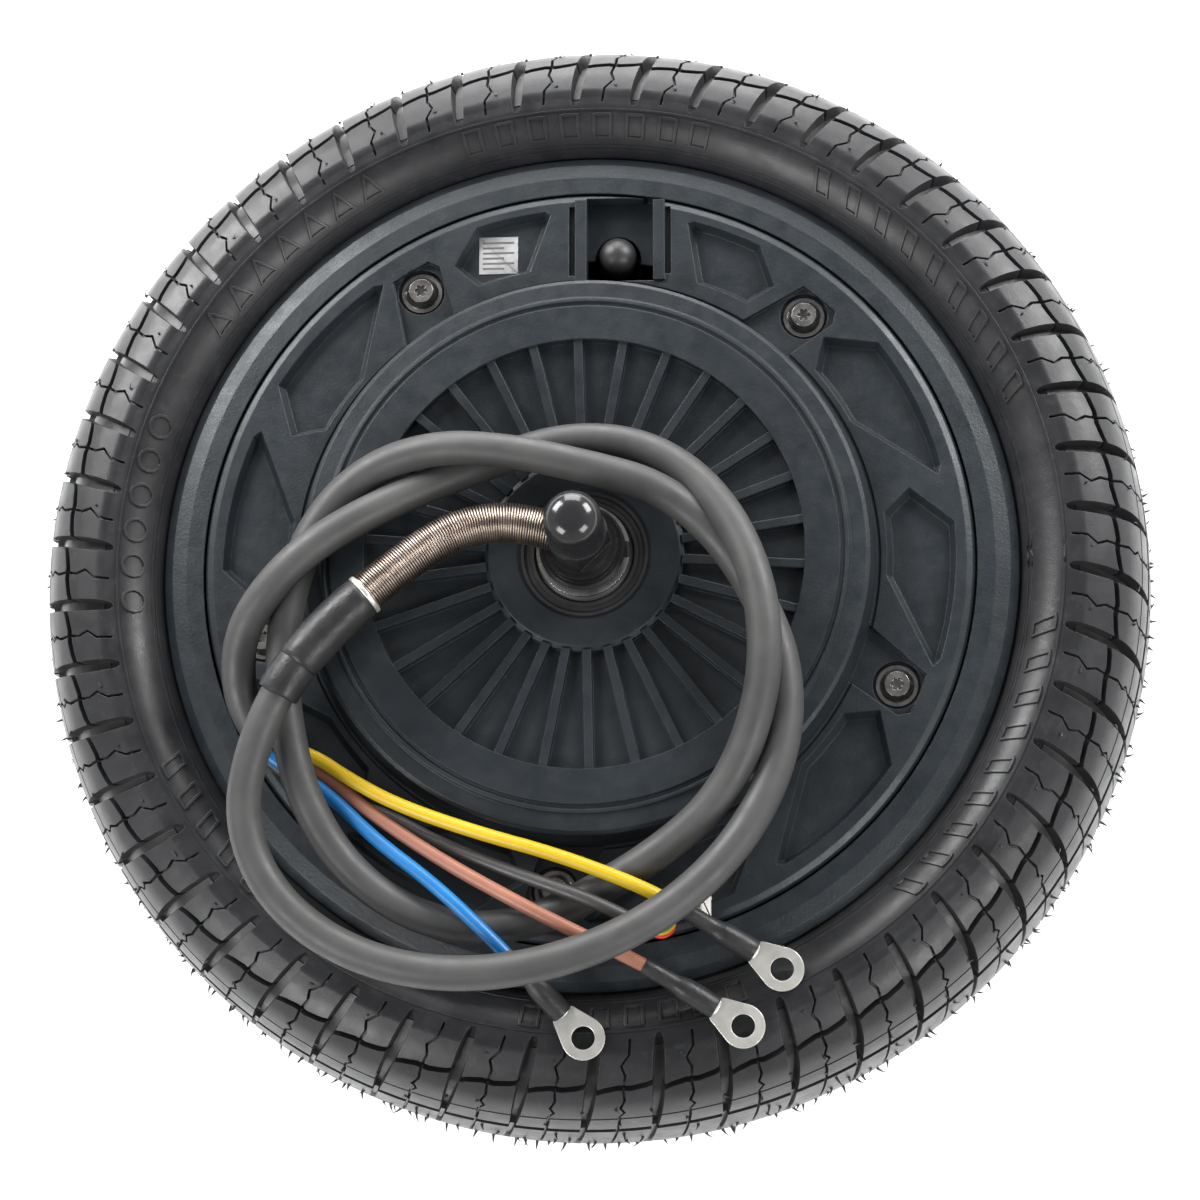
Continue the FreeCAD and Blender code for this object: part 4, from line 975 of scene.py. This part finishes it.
def make_sidewall_marks():
    """Raised outline shapes and rings in the place where a tyre carries its moulded marks."""
    # First angle, shape, how many, and degrees from one to the next.
    groups = [(20, "leaning", 9, 4.6), (74, "bar", 8, 4.2), (118, "peak", 7, 4.4), (160, "round", 6, 4.6),
              (205, "leaning", 8, 4.4), (262, "bar", 7, 4.2), (312, "leaning", 9, 4.6)]
    verts = []
    faces = []
    for half in (1.0, -1.0):
        for start, kind, count, pitch in groups:
            for index in range(count):
                angle = start + index * pitch
                line = [(math.radians(angle + across * pitch * 0.62), half * (54.4 - up * 5.6))
                        for across, up in outline(kind)]
                ribbon(verts, faces, line)
        for distance in (47.6, 56.6, 57.8):
            line = [(math.radians(step), half * distance) for step in range(360)]
            ribbon(verts, faces, line, 0.22, 0.22)
    return piece("sidewall_marks", verts, faces, "wheel", "tyre", (), 60.0)


# ---------------------------------------------------------------- caps and label

VALVE_CAP_RIBS = 24
VALVE_CAP_RIB_DEPTH = 0.30
LABEL_PLACE = (-26.4, 71.8)
LABEL_SIDE = 9.6
LABEL_BOTTOM = 28.35
LABEL_TOP = 28.55


def make_valve_cap():
    """A domed cap with fine ribs round its skirt."""
    low, high = (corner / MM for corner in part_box("valve_cap"))
    radius = (high.x - low.x) / 2
    centre = mm((low.x + high.x) / 2, (low.y + high.y) / 2)
    shoulder = high.z - radius
    outline_points = [(radius - 1.6, low.z + 1.5), (radius - 1.6, low.z), (radius - 0.35, low.z),
                      (radius - 0.05, low.z + 0.4), (radius - 0.05, low.z + 0.9), (radius - 0.3, low.z + 1.2),
                      (radius, low.z + 1.6), (radius, shoulder - 0.4), (radius - 0.25, shoulder)]
    for step in range(1, 8):
        angle = math.radians(90.0 * step / 8)
        outline_points.append((radius * math.cos(angle) - 0.05, shoulder + radius * math.sin(angle)))
    outline_points.append((0.3, high.z))
    ribbed = (6, 7)

    def ribs(row, share):
        if row not in ribbed:
            return 0.0
        return -VALVE_CAP_RIB_DEPTH * (0.5 + 0.5 * math.cos(math.tau * share * VALVE_CAP_RIBS))

    return lathe("valve_cover", outline_points, centre, 144, "valve_cap", "rubber", ("valve_cap",), ribs)


def make_axle_cap(name, node, body, side):
    """A glossy moulded cap: straight skirt with a rolled rim, and a domed end."""
    low, high = (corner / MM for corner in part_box(node))
    radius = (high.x - low.x) / 2
    tall = high.z - low.z
    base = low.z if side > 0 else high.z
    points = [(radius - 0.9, 0.0), (radius - 0.25, 0.0), (radius, 0.25), (radius, 1.0), (radius - 0.18, 1.25),
              (radius - 0.18, tall - 6.0)]
    for step in range(9):
        angle = math.radians(90.0 * step / 9)
        points.append(((radius - 0.18) * math.cos(angle) ** 0.8, tall - 5.6 + 5.6 * math.sin(angle)))
    points.append((0.4, tall))
    placed = [(wide, base + side * height) for wide, height in points]
    if side < 0:
        placed.reverse()
    return lathe(name, placed, mm(0, 0), 64, body, "black_gloss", (node,))


def make_label():
    """A small blank label with plain bars, on the floor of the pocket left of the valve."""
    x, y = LABEL_PLACE
    near_corner = Vector((x, y, LABEL_BOTTOM))
    far_corner = Vector((x + LABEL_SIDE, y + LABEL_SIDE, LABEL_TOP))
    verts, faces = rounded_box(near_corner, far_corner, 0.08)
    piece("label", [vert * MM for vert in verts], faces, "wheel", "aluminium")
    bars_verts = []
    bars_faces = []
    for index in range(6):
        low = Vector((-25.4, 73.0 + index * 1.3, 28.52))
        wide = 7.6 if index % 2 else 5.2
        part_verts, part_faces = rounded_box(low, low + Vector((wide, 0.55, 0.06)), 0.02)
        bars_faces += [tuple(len(bars_verts) + corner for corner in face) for face in part_faces]
        bars_verts += [vert * MM for vert in part_verts]
    piece("label_bars", bars_verts, bars_faces, "wheel", "gasket")


# ---------------------------------------------------------------- the scene

make_camera()
make_cords()
make_lights()
make_floor()
dress_nodes()
make_tyre()
make_vent_hairs()
make_sidewall_marks()
make_valve_cap()
make_axle_cap("front_cap", "front_axle_cap", "stator", 1)
make_axle_cap("rear_cap_shell", "rear_axle_cap", "rear_cap", -1)
make_label()
bpy.context.scene.view_settings.view_transform = "Standard"
